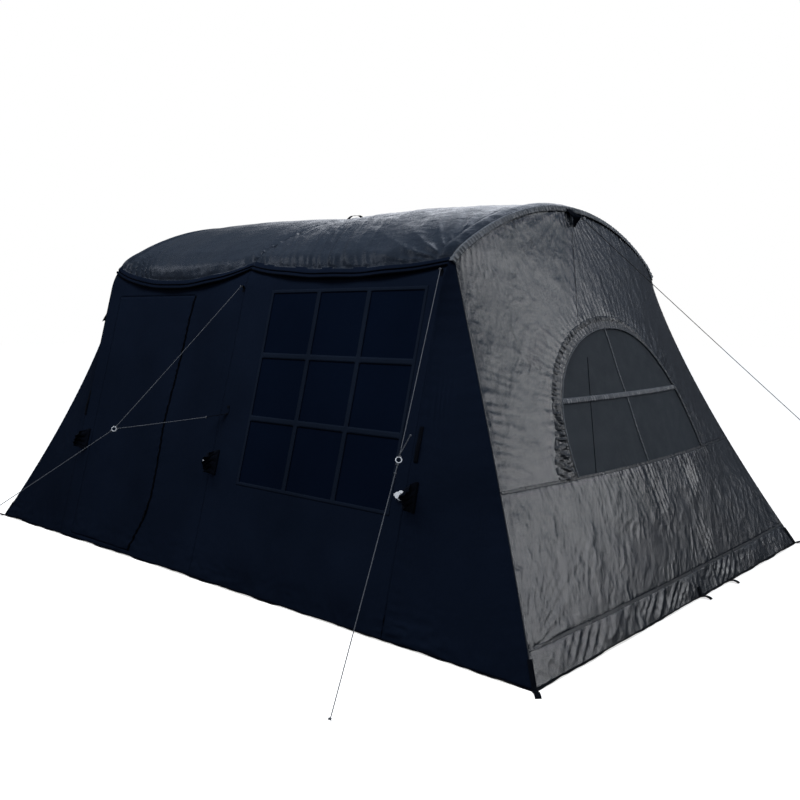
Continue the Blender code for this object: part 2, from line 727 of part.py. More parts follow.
def make_window_bay(drills):
    """The right bay of the front wall, its window film and the grid of tapes."""
    inner = 4 * FRONT_FOLDS
    width = WINDOW_RIGHT - WINDOW_LEFT
    columns = [SEAM / 2]
    columns += [WINDOW_LEFT + width * step / inner for step in range(inner + 1)]
    columns.append(BEAM_SPACING - SEAM / 2)
    fading = (FRONT_FOLD_MIDDLE + FRONT_FOLD_TOP) / 2
    folds = (FRONT_FOLD_MIDDLE / 2, FRONT_FOLD_MIDDLE, fading, FRONT_FOLD_TOP)
    heights = (WALL_FOOT, *folds, WINDOW_LOW, WINDOW_HIGH)
    rows = [[on_wall(x, z, front_fold(x, z)) for x in columns] for z in heights]
    rows += wall_rows(columns)
    hole = heights.index(WINDOW_LOW)
    wall = sheet(
        "front_wall_window_bay", rows, "front_cloth", lambda i, j: i != hole or j in (0, inner + 1)
    )
    cut(wall, drills[2])
    behind = -(CLOTH + GAP)
    reach_x = (WINDOW_LEFT - FILM_LAP, WINDOW_RIGHT + FILM_LAP)
    reach_z = (WINDOW_LOW - FILM_LAP, WINDOW_HIGH + FILM_LAP)
    rows = [[on_wall(x, z, behind) for x in reach_x] for z in reach_z]
    sheet("front_window_film", rows, "film", thickness=TAPE)
    across = grid_lines(WINDOW_LEFT, WINDOW_RIGHT, WINDOW_COLUMNS)
    upward = grid_lines(WINDOW_LOW, WINDOW_HIGH, WINDOW_ROWS)
    rows = [[on_wall(x, z, GAP + TAPE) for x in across] for z in upward]
    sheet(
        "front_window_bars",
        rows,
        "tape",
        lambda i, j: i % 2 == 0 or j % 2 == 0,
        thickness=TAPE,
    )


def grid_lines(low, high, count):
    """Both edges of each tape of a pane grid: its border, the bars between panes, its border."""
    lines = [low - WINDOW_BORDER, low]
    for number in range(1, count):
        middle = low + (high - low) * number / count
        lines += [middle - WINDOW_BAR / 2, middle + WINDOW_BAR / 2]
    return [*lines, high, high + WINDOW_BORDER]


def zip_x(z):
    """Where the zip's line is at a height."""
    for (low, x0), (high, x1) in zip(ZIP_LINE, ZIP_LINE[1:]):
        if z <= high:
            return x0 + (x1 - x0) * max(z - low, 0.0) / (high - low)
    return ZIP_LINE[-1][1]


def make_door_bay(drills):
    """The left bay of the front wall: fixed cloth, the door leaf, its zip and the slider."""
    heights = [z for z, _ in ZIP_LINE]
    rows = []
    left, right = SEAM / 2 - BEAM_SPACING, -SEAM / 2
    for z in (WALL_FOOT, *heights):
        edges = (left, DOOR_HINGE_X - DOOR_EDGE_GAP, zip_x(z) + SEAM / 2, right)
        rows.append([on_wall(edge, z) for edge in edges])
    last = len(rows) - 1
    rows += wall_rows((left, DOOR_HINGE_X - DOOR_EDGE_GAP, zip_x(WALL_BEND) + SEAM / 2, right))
    wall = sheet(
        "front_wall_door_bay", rows, "front_cloth", lambda i, j: j != 1 or i == 0 or i >= last
    )
    cut(wall, drills[0])
    cut(wall, drills[1])
    rows = []
    for z in heights:
        level = min(max(z, DOOR_SILL + SEAM), DOOR_TOP - SEAM)
        edges = (DOOR_HINGE_X + DOOR_EDGE_GAP, zip_x(z) - SEAM / 2)
        rows.append([on_wall(edge, level) for edge in edges])
    leaf = sheet("door_leaf", rows, "front_cloth")
    move_origin(leaf, on_wall(DOOR_HINGE_X, DOOR_SILL, -CLOTH / 2))
    rows = []
    for z in heights:
        near = zip_x(z) + SEAM
        level = min(max(z, DOOR_SILL + SEAM), DOOR_TOP - SEAM)
        rows.append([on_wall(edge, level, GAP + TAPE) for edge in (near, near + ZIP_WIDTH)])
    sheet("door_zip", rows, "zip", thickness=TAPE)
    seat = wall_frame(zip_x(SLIDER_LOW) + SLIDER_SIZE[0] / 2 + SEAM, SLIDER_LOW, 2 * GAP + TAPE)
    depth = SLIDER_SIZE[2]
    slider = box("door_zip_slider", SLIDER_SIZE, (0.0, 0.0, depth / 2), seat, "zip")
    pull_place = (0.0, -PULL_SIZE[1] / 2 + 0.006, depth + PULL_SIZE[2] / 2 - 0.0002)
    pull = box("slider_pull", PULL_SIZE, pull_place, seat, "zip")
    cut(slider, as_cutter(pull), "UNION")
    move_origin(slider, seat.translation)


def make_corner_panels():
    """The four leaning panels between a beam seam and a corner edge."""
    for end, end_name in ((-1, "left"), (1, "right")):
        arch = Arch(end * BEAM_SPACING)
        top = arch.shoulder(EDGE_AT)[1] - 0.075
        mid = [SILL_HEIGHT + (top - SILL_HEIGHT) * share for share in (0.25, 0.5, 0.75, 1.0)]
        low = (WALL_FOOT, SKIRT_HEIGHT, (SKIRT_HEIGHT + SILL_HEIGHT) / 2, SILL_HEIGHT)
        for side, side_name in ((-1, "front"), (1, "back")):
            rows = []
            for z in (*low, *mid):
                inner, edge = corner_row(end, side, z)
                rows.append([Vector(inner).lerp(Vector(edge), share) for share in (0.0, 0.5, 1.0)])
            sheet(f"corner_panel_{side_name}_{end_name}", rows, "front_cloth")


def ellipse_prism(name, half_width, rise, low, end):
    """A half ellipse standing on a level line, drawn through the end wall along X."""
    points = [(-half_width, low), (half_width, low)]
    for step in range(1, WINDOW_STEPS):
        angle = math.pi * step / WINDOW_STEPS
        points.append((half_width * math.cos(angle), SILL_HEIGHT + rise * math.sin(angle)))
    return prism(name, points, end)


def prism(name, points, end):
    """A flat outline across the tent, drawn out along X past the end wall's face."""
    work = bmesh.new()
    near = end * BEAM_SPACING * 0.9
    ring = [work.verts.new((near, y, z)) for y, z in points]
    face = work.faces.new(ring)
    moved = bmesh.ops.extrude_face_region(work, geom=[face])
    shift = [v for v in moved["geom"] if isinstance(v, bmesh.types.BMVert)]
    bmesh.ops.translate(work, vec=(end * 1.0, 0.0, 0.0), verts=shift)
    bmesh.ops.recalc_face_normals(work, faces=work.faces)
    data = bpy.data.meshes.new(name)
    work.to_mesh(data)
    work.free()
    return as_cutter(place(name, data, "film"))


def bar_box(name, size_y, size_z, centre_y, centre_z, end):
    low_y, high_y = centre_y - size_y / 2, centre_y + size_y / 2
    low_z, high_z = centre_z - size_z / 2, centre_z + size_z / 2
    return prism(name, [(low_y, low_z), (high_y, low_z), (high_y, high_z), (low_y, high_z)], end)


def make_end_wall(end, name):
    """Upper wall with its window, lower wall, and the film and tapes of the window."""
    shift = (CLOTH + GAP) / 0.85
    upper_rows = end_upper(end)
    half, rise = END_WINDOW_HALF_WIDTH, END_WINDOW_RISE
    hole = ellipse_prism(f"window_hole_{name}", half, rise, SILL_HEIGHT + 0.012, end)
    wall = sheet(f"end_wall_upper_{name}", upper_rows, "end_cloth")
    cut(wall, hole)
    film = sheet(f"end_window_film_{name}", upper_rows, "film", thickness=TAPE)
    lap = FILM_LAP
    film_shape = ellipse_prism(f"film_shape_{name}", half + lap, rise + lap, SILL_HEIGHT + 0.003, end)
    cut(film, film_shape, "INTERSECT")
    film.data.transform(Matrix.Translation((-end * shift, 0.0, 0.0)))
    wide = END_FRAME_WIDTH
    tapes = sheet(f"end_window_tapes_{name}", upper_rows, "tape", thickness=TAPE)
    tapes.data.transform(Matrix.Translation((end * (TAPE + GAP) / 0.85, 0.0, 0.0)))
    outer = ellipse_prism(f"frame_outer_{name}", half + wide, rise + wide, SILL_HEIGHT + 0.003, end)
    inner = ellipse_prism(f"frame_inner_{name}", half, rise, SILL_HEIGHT - 0.05, end)
    level = bar_box(
        f"level_bar_{name}", 2 * half + wide, END_BAR_WIDTH, 0.0, END_WINDOW_BAR_HEIGHT, end
    )
    tall = bar_box(
        f"tall_bar_{name}", END_BAR_WIDTH, rise + wide, 0.0, SILL_HEIGHT + rise / 2 + wide / 2, end
    )
    cut(outer, inner)
    cut(outer, level, "UNION")
    cut(outer, tall, "UNION")
    trimmed = ellipse_prism(
        f"frame_limit_{name}", half + wide * 0.9, rise + wide * 0.9, SILL_HEIGHT + 0.003, end
    )
    cut(outer, trimmed, "INTERSECT")
    cut(tapes, outer, "INTERSECT")
    sheet(f"end_wall_lower_{name}", end_lower(end), "end_cloth")


def strip(name, path, width_way, width, finish, thickness=WEBBING):
    """A flat strap along a path. Its width lies the given way, or each point has its own."""
    ways = width_way if isinstance(width_way, list) else [width_way] * len(path)
    rows = []
    for point, way in zip(path, ways):
        half = Vector(way).normalized() * width / 2
        rows.append([Vector(point) - half, Vector(point) + half])
    return sheet(name, rows, finish, thickness=thickness, offset=0.0)


def make_guy_tabs():
    """Webbing tabs stitched to the wall at the beams, where the guys tie on."""
    rise = GAP + WEBBING / 2
    low = TAB_HEIGHT_ON_WALL
    for side, x in zip(("left", "middle", "right"), LOW_TAB_PLACES):
        path = [seat_frame(x, z, rise).translation for z in (low + TAB_SEWN, low)]
        ways = [front_point(x, low)[1]] * 4
        if side == "middle":
            tip = short_of(path[1], MIDDLE_LOW_TAB_END, GAP)
            path += [path[1].lerp(tip, 0.5), tip]
            ways[3] = (tip - path[1]).cross(Vector((0.0, 0.0, -1.0)))
            ways[2] = ways[1].lerp(ways[3].normalized(), 0.5)
        else:
            path.append(seat_frame(x, low - TAB_FREE / 2, rise + 0.006).translation)
            path.append(seat_frame(x, low - TAB_FREE, rise + 0.002).translation)
        strip(f"guy_tab_low_{side}", path, ways, TAB_WIDTH, "webbing")
    for side, end in (("middle", MIDDLE_TAB_END), ("right", RIGHT_TAB_END)):
        tip = Vector(end) + Vector((0.0, ROPE / 2 + GAP, 0.0))
        path = [seat_frame(tip.x, tip.z - drop, rise).translation for drop in (0.038, 0.018)]
        path += [path[1].lerp(tip, 0.5) + Vector((0.0, 0.0, 0.003)), tip]
        strip(f"guy_tab_high_{side}", path, (1.0, 0.0, 0.0), TAB_WIDTH, "webbing")


def add_peg_loops(ground):
    """Flat webbing loops sewn to the groundsheet's edge, for the pegs."""
    over = GROUND_THICKNESS + LOOP_BITE
    flat = WEBBING / 2 + LOOP_BITE
    end_edge = BEAM_SPACING + END_FLARE + GROUND_MARGIN
    for end in (-1, 1):
        places = [(Vector((end * end_edge, y, 0.0)), Vector((end, 0.0, 0.0))) for y in END_LOOP_PLACES]
        for side in (-1, 1):
            corner = Vector((end * end_edge, side * (HALF_WIDTH + GROUND_MARGIN), 0.0))
            places.append((corner, Vector((end, side, 0.0)).normalized()))
        for number, (foot, outward) in enumerate(places):
            inner = -LOOP_LAP * (1.0 if number < len(END_LOOP_PLACES) else 1.4)
            path = [
                foot + outward * inner + Vector((0.0, 0.0, over)),
                foot + Vector((0.0, 0.0, over)),
                foot + outward * LOOP_LAP + Vector((0.0, 0.0, flat)),
                foot + outward * LOOP_REACH + Vector((0.0, 0.0, flat)),
            ]
            across = Vector((-outward.y, outward.x, 0.0))
            loop = strip(f"loop_{end}_{number}", path, across, LOOP_WIDTH, "webbing")
            cut(ground, as_cutter(loop), "UNION")


def height_on(line, y):
    """The height of a line of points across the tent, at a distance from the middle."""
    for (y0, z0), (y1, z1) in zip(line, line[1:]):
        if y <= y1:
            return z0 + (z1 - z0) * (y - y0) / (y1 - y0)
    return line[-1][1]


def make_ridge_loop():
    """A loop of webbing on the middle ridge, stitched down at both ends."""
    top = ROOF_LIFT + 2 * BINDING_RADIUS + GAP + WEBBING / 2
    across = Arch(0.0, -top).across("edge")
    path = []
    for share, lift in ((0.0, 0.0), (0.15, 0.8), (0.5, 1.0), (0.85, 0.8), (1.0, 0.0)):
        y = RIDGE_LOOP_FROM + (RIDGE_LOOP_TO - RIDGE_LOOP_FROM) * share
        path.append((0.0, y, height_on(across, y) + RIDGE_LOOP_RISE * lift))
    strip("ridge_loop", path, (1.0, 0.0, 0.0), LOOP_WIDTH, "webbing")


def make_patches():
    """The pointed patches at both ends of the ridge, pulled out where a guy ties on."""
    near = WEBBING / 2 + 2 * GAP
    for end, name in ((-1, "left"), (1, "right")):
        crown = Arch(end * BEAM_SPACING).crown
        rows = []
        for drop, width, pull in ((PATCH_TOP_DROP, 1.0, 0.0), (PATCH_TIP_DROP, 0.6, 0.35), (PATCH_DROP, 0.2, 0.0)):
            row = []
            for across in (-1, 0, 1):
                y = across * width * PATCH_HALF_WIDTH
                out = near + PATCH_TIP_OUT * (pull if across else min(pull * 10, 1.0))
                row.append((end_x(end, y, crown - drop) + end * out, y, crown - drop))
            rows.append(row)
        sheet(f"apex_patch_{name}", rows, "webbing", thickness=WEBBING, offset=0.0)


def hood_frame():
    """A frame where the hood is stitched: X along its seam, Y up the wall, Z out of the wall."""
    low, high = HOOD_MIDDLE - HOOD_HALF_WIDTH, HOOD_MIDDLE + HOOD_HALF_WIDTH
    seam = [Vector((end_x(-1, y, HOOD_TOP), y, HOOD_TOP)) for y in (low, HOOD_MIDDLE, high)]
    below = Vector((end_x(-1, HOOD_MIDDLE, HOOD_TOP - 0.1), HOOD_MIDDLE, HOOD_TOP - 0.1))
    along = (seam[0] - seam[2]).normalized()
    outward = along.cross(seam[1] - below).normalized()
    turn = Matrix((along, outward.cross(along), outward)).transposed().to_4x4()
    return Matrix.Translation(seam[1] + outward * (CLOTH + 2 * GAP)) @ turn


def make_hood():
    """A small flap of stiffened cloth, stitched along its top and arched across."""
    frame = hood_frame()
    rows = []
    for drop in range(HOOD_STEPS + 1):
        down = drop / HOOD_STEPS
        row = []
        for step in range(-2, 3):
            across = step / 2
            width = HOOD_HALF_WIDTH * (1.0 - 0.3 * down**2)
            out = HOOD_LENGTH * down * math.sin(HOOD_ANGLE) + HOOD_ARCH * down * (1.0 - across**2)
            row.append(frame @ Vector((across * width, -HOOD_LENGTH * down * math.cos(HOOD_ANGLE), out)))
        rows.append(row)
    within = (end_x(-1, HOOD_MIDDLE, HOOD_TOP) + 0.5, HOOD_MIDDLE, HOOD_TOP - 0.3)
    hood = sheet("vent_hood", rows, "webbing", offset=0.0, inside=within)
    move_origin(hood, frame.translation)


def rope_route(start, end, sag):
    """A smooth route between two places that hangs a little below the straight line."""
    start, end = Vector(start), Vector(end)
    route = []
    for step in range(ROPE_POINTS):
        share = step / (ROPE_POINTS - 1)
        route.append(start.lerp(end, share) - Vector((0.0, 0.0, 4.0 * sag * share * (1.0 - share))))
    return route


def short_of(start, end, cut_back):
    """A place just short of the end, seen from the start."""
    start, end = Vector(start), Vector(end)
    return end - (end - start).normalized() * cut_back


def make_ring(name, middle, normal):
    bpy.ops.mesh.primitive_torus_add(
        major_radius=RING_RADIUS,
        minor_radius=RING_THICKNESS,
        major_segments=20,
        minor_segments=8,
        location=middle,
        rotation=Vector(normal).to_track_quat("Z", "Y").to_euler(),
    )
    made = bpy.context.active_object
    made.name = name
    for owner in list(made.users_collection):
        owner.objects.unlink(made)
    parts.objects.link(made)
    made.data.materials.append(material(name, "ring"))
    made.data.shade_smooth()


def make_guys():
    """The ropes seen on the front and at the right end, and the rings that join them."""
    reach = RING_RADIUS + RING_THICKNESS + GAP
    right_way = Vector(RIGHT_PEG) - Vector(RIGHT_TAB_END)
    make_ring("guy_ring_right", RIGHT_RING, right_way.cross(Vector((1.0, 1.0, 0.0))))
    upper_way = Vector(MIDDLE_TAB_END) - Vector(MIDDLE_PEG)
    make_ring("guy_ring_middle", MIDDLE_RING, upper_way.cross(Vector(MIDDLE_LOW_TAB_END) - Vector(MIDDLE_PEG)))
    routes = (
        ("guy_rope_right_upper", RIGHT_TAB_END, short_of(RIGHT_TAB_END, RIGHT_RING, reach), 0.002),
        ("guy_rope_right_lower", short_of(RIGHT_PEG, RIGHT_RING, reach), RIGHT_PEG, 0.004),
        ("guy_rope_middle_upper", MIDDLE_TAB_END, short_of(MIDDLE_TAB_END, MIDDLE_RING, reach), 0.003),
        ("guy_rope_middle_lower", MIDDLE_LOW_TAB_END, short_of(MIDDLE_LOW_TAB_END, MIDDLE_RING, reach), 0.001),
        ("guy_rope_middle_main", short_of(MIDDLE_PEG, MIDDLE_RING, reach), MIDDLE_PEG, 0.004),
    )
    for name, start, end, sag in routes:
        tube(name, rope_route(start, end, sag), ROPE / 2, "rope", 2)
    tube("guy_rope_end", rope_route(END_ROPE_START, END_PEG, 0.012), ROPE / 2, "black_rope", 2)


clear_scene()
parts = collection(TENT)
cutters = collection("cutters")
eaves = []


def main():
    make_groundsheet()
    drills = [valve_drill(number, f"valve_drill_{number}") for number in range(3)]
    make_beams(drills)
    make_valves()
    make_roof()
    make_trim()
    make_back_wall()
    make_window_bay(drills)
    make_door_bay(drills)
    make_corner_panels()
    make_end_wall(-1, "left")
    make_end_wall(1, "right")
    make_guy_tabs()
    make_ridge_loop()
    make_patches()
    make_hood()
    make_guys()


main()
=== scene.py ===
"""Looks of the inflatable tent: sewn cloth, webbing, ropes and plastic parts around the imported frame.

Metres, +Z up. X runs along the tent, -Y is the front wall with the door, and the floor is at zero.
"""

import math

import bpy
import numpy as np
from mathutils import Matrix, Vector


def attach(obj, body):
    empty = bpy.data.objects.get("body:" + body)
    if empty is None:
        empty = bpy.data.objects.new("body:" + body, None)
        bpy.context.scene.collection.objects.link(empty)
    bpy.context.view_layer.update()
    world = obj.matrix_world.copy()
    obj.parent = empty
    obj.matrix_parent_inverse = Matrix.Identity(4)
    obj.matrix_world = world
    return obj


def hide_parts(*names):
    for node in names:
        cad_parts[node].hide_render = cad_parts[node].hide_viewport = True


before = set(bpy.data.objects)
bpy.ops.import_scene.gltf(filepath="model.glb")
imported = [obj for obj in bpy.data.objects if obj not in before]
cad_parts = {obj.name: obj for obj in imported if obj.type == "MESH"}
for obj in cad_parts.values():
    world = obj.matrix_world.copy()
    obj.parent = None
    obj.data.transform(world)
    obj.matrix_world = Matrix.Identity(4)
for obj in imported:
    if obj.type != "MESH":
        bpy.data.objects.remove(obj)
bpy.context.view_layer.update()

ENDS = (("left", -1), ("right", 1))
SIDES = (("front", -1), ("back", 1))

# The shell's outline, as in the part's source.
BEAM_SPACING = 1.483
END_FLARE = 0.828
HALF_WIDTH = 1.550
WALL_LEAN = 0.263
CROWN_HEIGHT = 2.085
LEFT_CROWN_RISE = 0.050
ROOF_RADIUS = 1.883
SHOULDER_RADIUS = 0.355
EDGE_FLARE_POWER = 1.194
EDGE_SPREAD_POWER = 1.555
EAVE_AT = 0.47
EDGE_AT = 0.71
BINDING_AT = EAVE_AT + 0.07
CLOTH = 0.002
GAP = 0.0004
ROOF_LIFT = CLOTH + 2 * GAP
ROOF_PUFF = 0.030
EAVE_HEM = 0.008
LEFT_EAVE_DROOP = 0.121
RIGHT_EAVE_DROOP = 0.066
EAVE_STAND = 0.022
ROOF_PLEATS = 4
PLEAT_DEPTH = 0.009
GROUND_THICKNESS = 0.003
WEBBING_THICK = 0.0018
GROUND_MARGIN = 0.014
GROUND_END = BEAM_SPACING + END_FLARE + GROUND_MARGIN
GROUND_SIDE = HALF_WIDTH + GROUND_MARGIN
WALL_FOOT = GROUND_THICKNESS + GAP + CLOTH * 0.5
BEAM_RADIUS = 0.058
BEAM_INSET = 0.052
BEAM_PLACES = {"left": BEAM_INSET - BEAM_SPACING, "middle": 0.0, "right": BEAM_SPACING - BEAM_INSET}
SLOPE = math.hypot(1.0, WALL_LEAN)
LOW_ANGLE = math.atan(WALL_LEAN)

# Windows, door and seams.
SKIRT_HEIGHT = 0.130
SILL_HEIGHT = 0.700
END_WINDOW_HALF_WIDTH = 0.718
END_WINDOW_RISE = 0.710
END_WINDOW_POWER = 2.15  # 2 is an ellipse, and more is squarer
END_WINDOW_BAR_HEIGHT = 1.055
FILM_REACH = 1.02
FILM_FOLDS = 0.35
WINDOW_LEFT = 0.270
WINDOW_RIGHT = 1.385
WINDOW_LOW = 0.560
WINDOW_HIGH = 1.600
WINDOW_BAR = 0.030
WINDOW_BORDER = 0.018
WINDOW_OVERLAP = 0.012
DOOR_HINGE_X = -1.340
DOOR_TOP = 1.600
DOOR_SILL = 0.030
ZIP_LINE = (
    (0.030, -0.660),
    (0.157, -0.602),
    (0.269, -0.549),
    (0.431, -0.532),
    (0.733, -0.553),
    (0.873, -0.557),
    (1.076, -0.530),
    (1.446, -0.505),
    (1.600, -0.480),
)  # height and place
LEVELS_TOP = 1.79  # the walls' rows of points are spaced up to here, then drawn to the eave
VALANCE = 0.058
END_FOLDS = 7
END_FOLD_DEPTH = 0.00135
END_FOLD_LEAN = 0.45
FRONT_DIP = 0.009
FRONT_FOLDS = 3
FRONT_FOLD_DEPTH = 0.014
FRONT_FOLD_TOP = 0.420
FRONT_FOLD_MIDDLE = 0.150

# Valve flaps and vent hood.
VALVE_HEIGHT = 0.640
VALVE_SHIFT = 0.025
FLAP_ROOT = 0.080
FLAP_LENGTH = 0.115
FLAP_HEIGHT = 0.145
HOOD_MIDDLE = -0.955
HOOD_HALF_WIDTH = 0.080
HOOD_TOP = 1.600
HOOD_LENGTH = 0.240
HOOD_ANGLE = math.radians(23)

# Ropes and tabs, as in the part's source.
ROPE = 0.004
ROPE_POINTS = 14
RING_RADIUS = 0.013
RING_THICKNESS = 0.0025
RIGHT_TAB_END = (1.462, -1.108, 1.700)
RIGHT_RING = (1.662, -1.629, 0.860)
RIGHT_PEG = (1.894, -2.262, 0.004)
MIDDLE_TAB_END = (-0.008, -1.138, 1.650)
MIDDLE_LOW_TAB_END = (-0.016, -1.394, 0.896)
MIDDLE_RING = (-0.381, -1.768, 0.830)
MIDDLE_PEG = (-1.121, -2.772, 0.004)
END_ROPE_START = (1.5730, 0.0008, 2.0220)
END_PEG = (3.308, 1.470, 0.004)
LOW_TABS = {"left": -1.475, "middle": 0.060, "right": 1.505}
LOW_TAB_HEIGHT = 0.915
TAB_WIDTH = 0.020

# Camera, light and floor.
CAMERA_PLACE = (4.1302, -4.4005, 1.4628)
CAMERA_YAW, CAMERA_PITCH, CAMERA_ROLL = -41.6148, 5.3265, 0.1653
LENS, SENSOR = 39.606, 36.0
FLOOR_SIZE = 40.0
FLOOR_HEIGHT = -0.0005
FLOOR_COLOUR = (0.92, 0.92, 0.92)
FLOOR_BOUNCE = (0.07, 0.075, 0.083)
FLOOR_GLOW = 0.60
FLOOR_GLOW_COLOUR = (1.0, 0.985, 0.96)
SKY = (0.44, 0.48, 0.54)
SKY_LOW = (0.065, 0.072, 0.085)
SKY_SIDES = (
    ((0.0, 0.0, 1.0), 25.0, 84.0, (0.15, 0.21, 0.31)),
    ((-0.56, 0.80, 0.20), 8.0, 22.0, (1.55, 1.60, 1.72)),
    ((-0.82, -0.19, 0.55), 3.0, 10.0, (1.40, 1.50, 1.70)),
    ((-0.37, 0.70, 0.62), 4.0, 13.0, (1.40, 1.50, 1.70)),
    ((0.712, 0.586, 0.387), 9.0, 14.0, (5.60, 5.66, 5.80)),
    ((0.42, 0.79, 0.45), 4.0, 22.0, (0.34, 0.38, 0.46)),
)  # way, full within and none beyond these angles in degrees, and the light that it adds


# Noise and folds.


def gradient_noise(x, y, seed):
    """Smooth noise from about -1 to 1 at places of a plane, one hill to a unit."""
    cell_x = np.floor(x).astype(np.int64)
    cell_y = np.floor(y).astype(np.int64)
    near_x, near_y = x - cell_x, y - cell_y
    ease_x = near_x**3 * (near_x * (near_x * 6 - 15) + 10)
    ease_y = near_y**3 * (near_y * (near_y * 6 - 15) + 10)

    def corner(step_x, step_y):
        key = (cell_x + step_x) * 374761393 + (cell_y + step_y) * 668265263 + seed * 362437
        key = ((key ^ (key >> 13)) * 1274126177) & 0xFFFFFFFF
        angle = ((key ^ (key >> 16)) & 0xFFFF) / 65536 * math.tau
        return np.cos(angle) * (near_x - step_x) + np.sin(angle) * (near_y - step_y)

    low = corner(0, 0) * (1 - ease_x) + corner(1, 0) * ease_x
    high = corner(0, 1) * (1 - ease_x) + corner(1, 1) * ease_x
    return 1.5 * (low * (1 - ease_y) + high * ease_y)


def patches(middle, strength, x, y, seed, low=0.0, high=1.0):
    """An uneven amount over a plane, held between two values."""
    return np.clip(middle + strength * gradient_noise(x, y, seed), low, high)


def creases(u, v, size, seed, stretch=1.0, turn=0.0):
    """A net of sharp folds, from 0 between them to 1 on them. They run longer along the turned v."""
    along = math.cos(turn) * u + math.sin(turn) * v
    across = math.cos(turn) * v - math.sin(turn) * u
    bend = 0.45 * gradient_noise(u / size / 1.7, v / size / 1.7, seed + 50)
    value = gradient_noise(along / size + bend, across / size / stretch + bend, seed)
    return np.maximum(1.0 - np.abs(value) * 2.4, 0.0)


def pleats(place, pitch, seed, other=0.0, drift=1.0):
    """Sharp-crested folds side by side, from -1 to 1, uneven in pitch, drifting with the other way."""
    turn = place / pitch + 0.8 * gradient_noise(place / pitch / 3.1, other / drift, seed)
    return 1.0 - 2.0 * np.abs(np.sin(math.pi * turn)) ** 0.8


def smooth(value):
    value = np.clip(value, 0.0, 1.0)
    return value * value * (3 - 2 * value)


def hill(value, width):
    """1 at zero, falling off softly on both sides."""
    return np.exp(-((value / width) ** 2))


def fade(value, width):
    """1 at zero, falling off from there on."""
    return np.exp(-value / width)


# The shell's outline.


def outline(x):
    """The shell's outline at places along the tent: crown, roof centre, bend centre, upper angle."""
    share = np.clip(0.5 - np.asarray(x, float) / (2 * BEAM_SPACING), 0.0, 1.0)
    crown = CROWN_HEIGHT + LEFT_CROWN_RISE * share
    roof_z = crown - ROOF_RADIUS
    reach = HALF_WIDTH - SHOULDER_RADIUS * SLOPE
    linear = WALL_LEAN * reach + roof_z
    rest = reach**2 + roof_z**2 - (ROOF_RADIUS - SHOULDER_RADIUS) ** 2
    bend_z = (linear + np.sqrt(linear**2 - SLOPE**2 * rest)) / SLOPE**2
    bend_y = reach - WALL_LEAN * bend_z
    return crown, roof_z, bend_y, bend_z, np.arctan2(bend_z - roof_z, bend_y)


def half_width(x, z):
    """The shell's half width at a height."""
    _, roof_z, bend_y, bend_z, high = outline(x)
    wall = HALF_WIDTH - WALL_LEAN * z
    bend = bend_y + np.sqrt(np.maximum(SHOULDER_RADIUS**2 - (z - bend_z) ** 2, 0.0))
    roof = np.sqrt(np.maximum(ROOF_RADIUS**2 - (z - roof_z) ** 2, 0.0))
    above = np.where(z <= bend_z + SHOULDER_RADIUS * np.sin(high), bend, roof)
    return np.where(z <= bend_z + SHOULDER_RADIUS * math.sin(LOW_ANGLE), wall, above)


def section(x, run):
    """A place on the outline at a distance from the crown, negative to the front, and the way out."""
    _, roof_z, bend_y, bend_z, high = outline(x)
    first = ROOF_RADIUS * (math.pi / 2 - high)
    size = np.abs(run)
    past = np.maximum(size - first - SHOULDER_RADIUS * (high - LOW_ANGLE), 0.0)
    bend = np.maximum(high - (size - first) / SHOULDER_RADIUS, LOW_ANGLE)
    on_roof = size <= first
    angle = np.where(on_roof, math.pi / 2 - size / ROOF_RADIUS, bend)
    radius = np.where(on_roof, ROOF_RADIUS, SHOULDER_RADIUS)
    y = np.where(on_roof, 0.0, bend_y) + radius * np.cos(angle) + past * WALL_LEAN / SLOPE
    z = np.where(on_roof, roof_z, bend_z) + radius * np.sin(angle) - past / SLOPE
    side = np.sign(run)
    return side * y, z, side * np.cos(angle), np.sin(angle)


def skin(x, run):
    """Places on the outline as points, and the ways out of it."""
    y, z, out_y, out_z = section(x, run)
    return np.stack([np.broadcast_to(x, y.shape), y, z], axis=-1), np.stack([y * 0.0, out_y, out_z], axis=-1)


def bend_height(x, share):
    """The height of a place on the shoulder's bend."""
    _, _, _, bend_z, high = outline(x)
    return bend_z + SHOULDER_RADIUS * np.sin(LOW_ANGLE + share * (high - LOW_ANGLE))


def bend_run(x, share):
    """How far a place on the shoulder's bend is from the crown, along the outline."""
    high = outline(x)[4]
    return ROOF_RADIUS * (math.pi / 2 - high) + SHOULDER_RADIUS * (1.0 - share) * (high - LOW_ANGLE)


def run_to(x, z):
    """How far along the outline a height on the shoulder or the wall is from the crown."""
    _, _, _, bend_z, high = outline(x)
    low_z = bend_z + SHOULDER_RADIUS * math.sin(LOW_ANGLE)
    angle = np.maximum(np.arcsin(np.clip((z - bend_z) / SHOULDER_RADIUS, -1.0, 1.0)), LOW_ANGLE)
    bend = SHOULDER_RADIUS * (high - angle)
    return ROOF_RADIUS * (math.pi / 2 - high) + bend + np.maximum(low_z - z, 0.0) * SLOPE


def edge_of(end, z):
    """Where an end's corner edges are at a height: distance along the tent and half width."""
    place = end * BEAM_SPACING
    _, _, bend_y, _, high = outline(place)
    top_y = bend_y + SHOULDER_RADIUS * math.cos(LOW_ANGLE + EDGE_AT * (high - LOW_ANGLE))
    left = np.maximum(1.0 - z / bend_height(place, EDGE_AT), 0.0)
    half = top_y + (HALF_WIDTH - top_y) * left**EDGE_SPREAD_POWER
    return BEAM_SPACING + END_FLARE * left**EDGE_FLARE_POWER, half


def end_half(end, z):
    """An end wall's half width at a height."""
    place = end * BEAM_SPACING
    return np.where(z > bend_height(place, EDGE_AT), half_width(place, z), edge_of(end, z)[1])


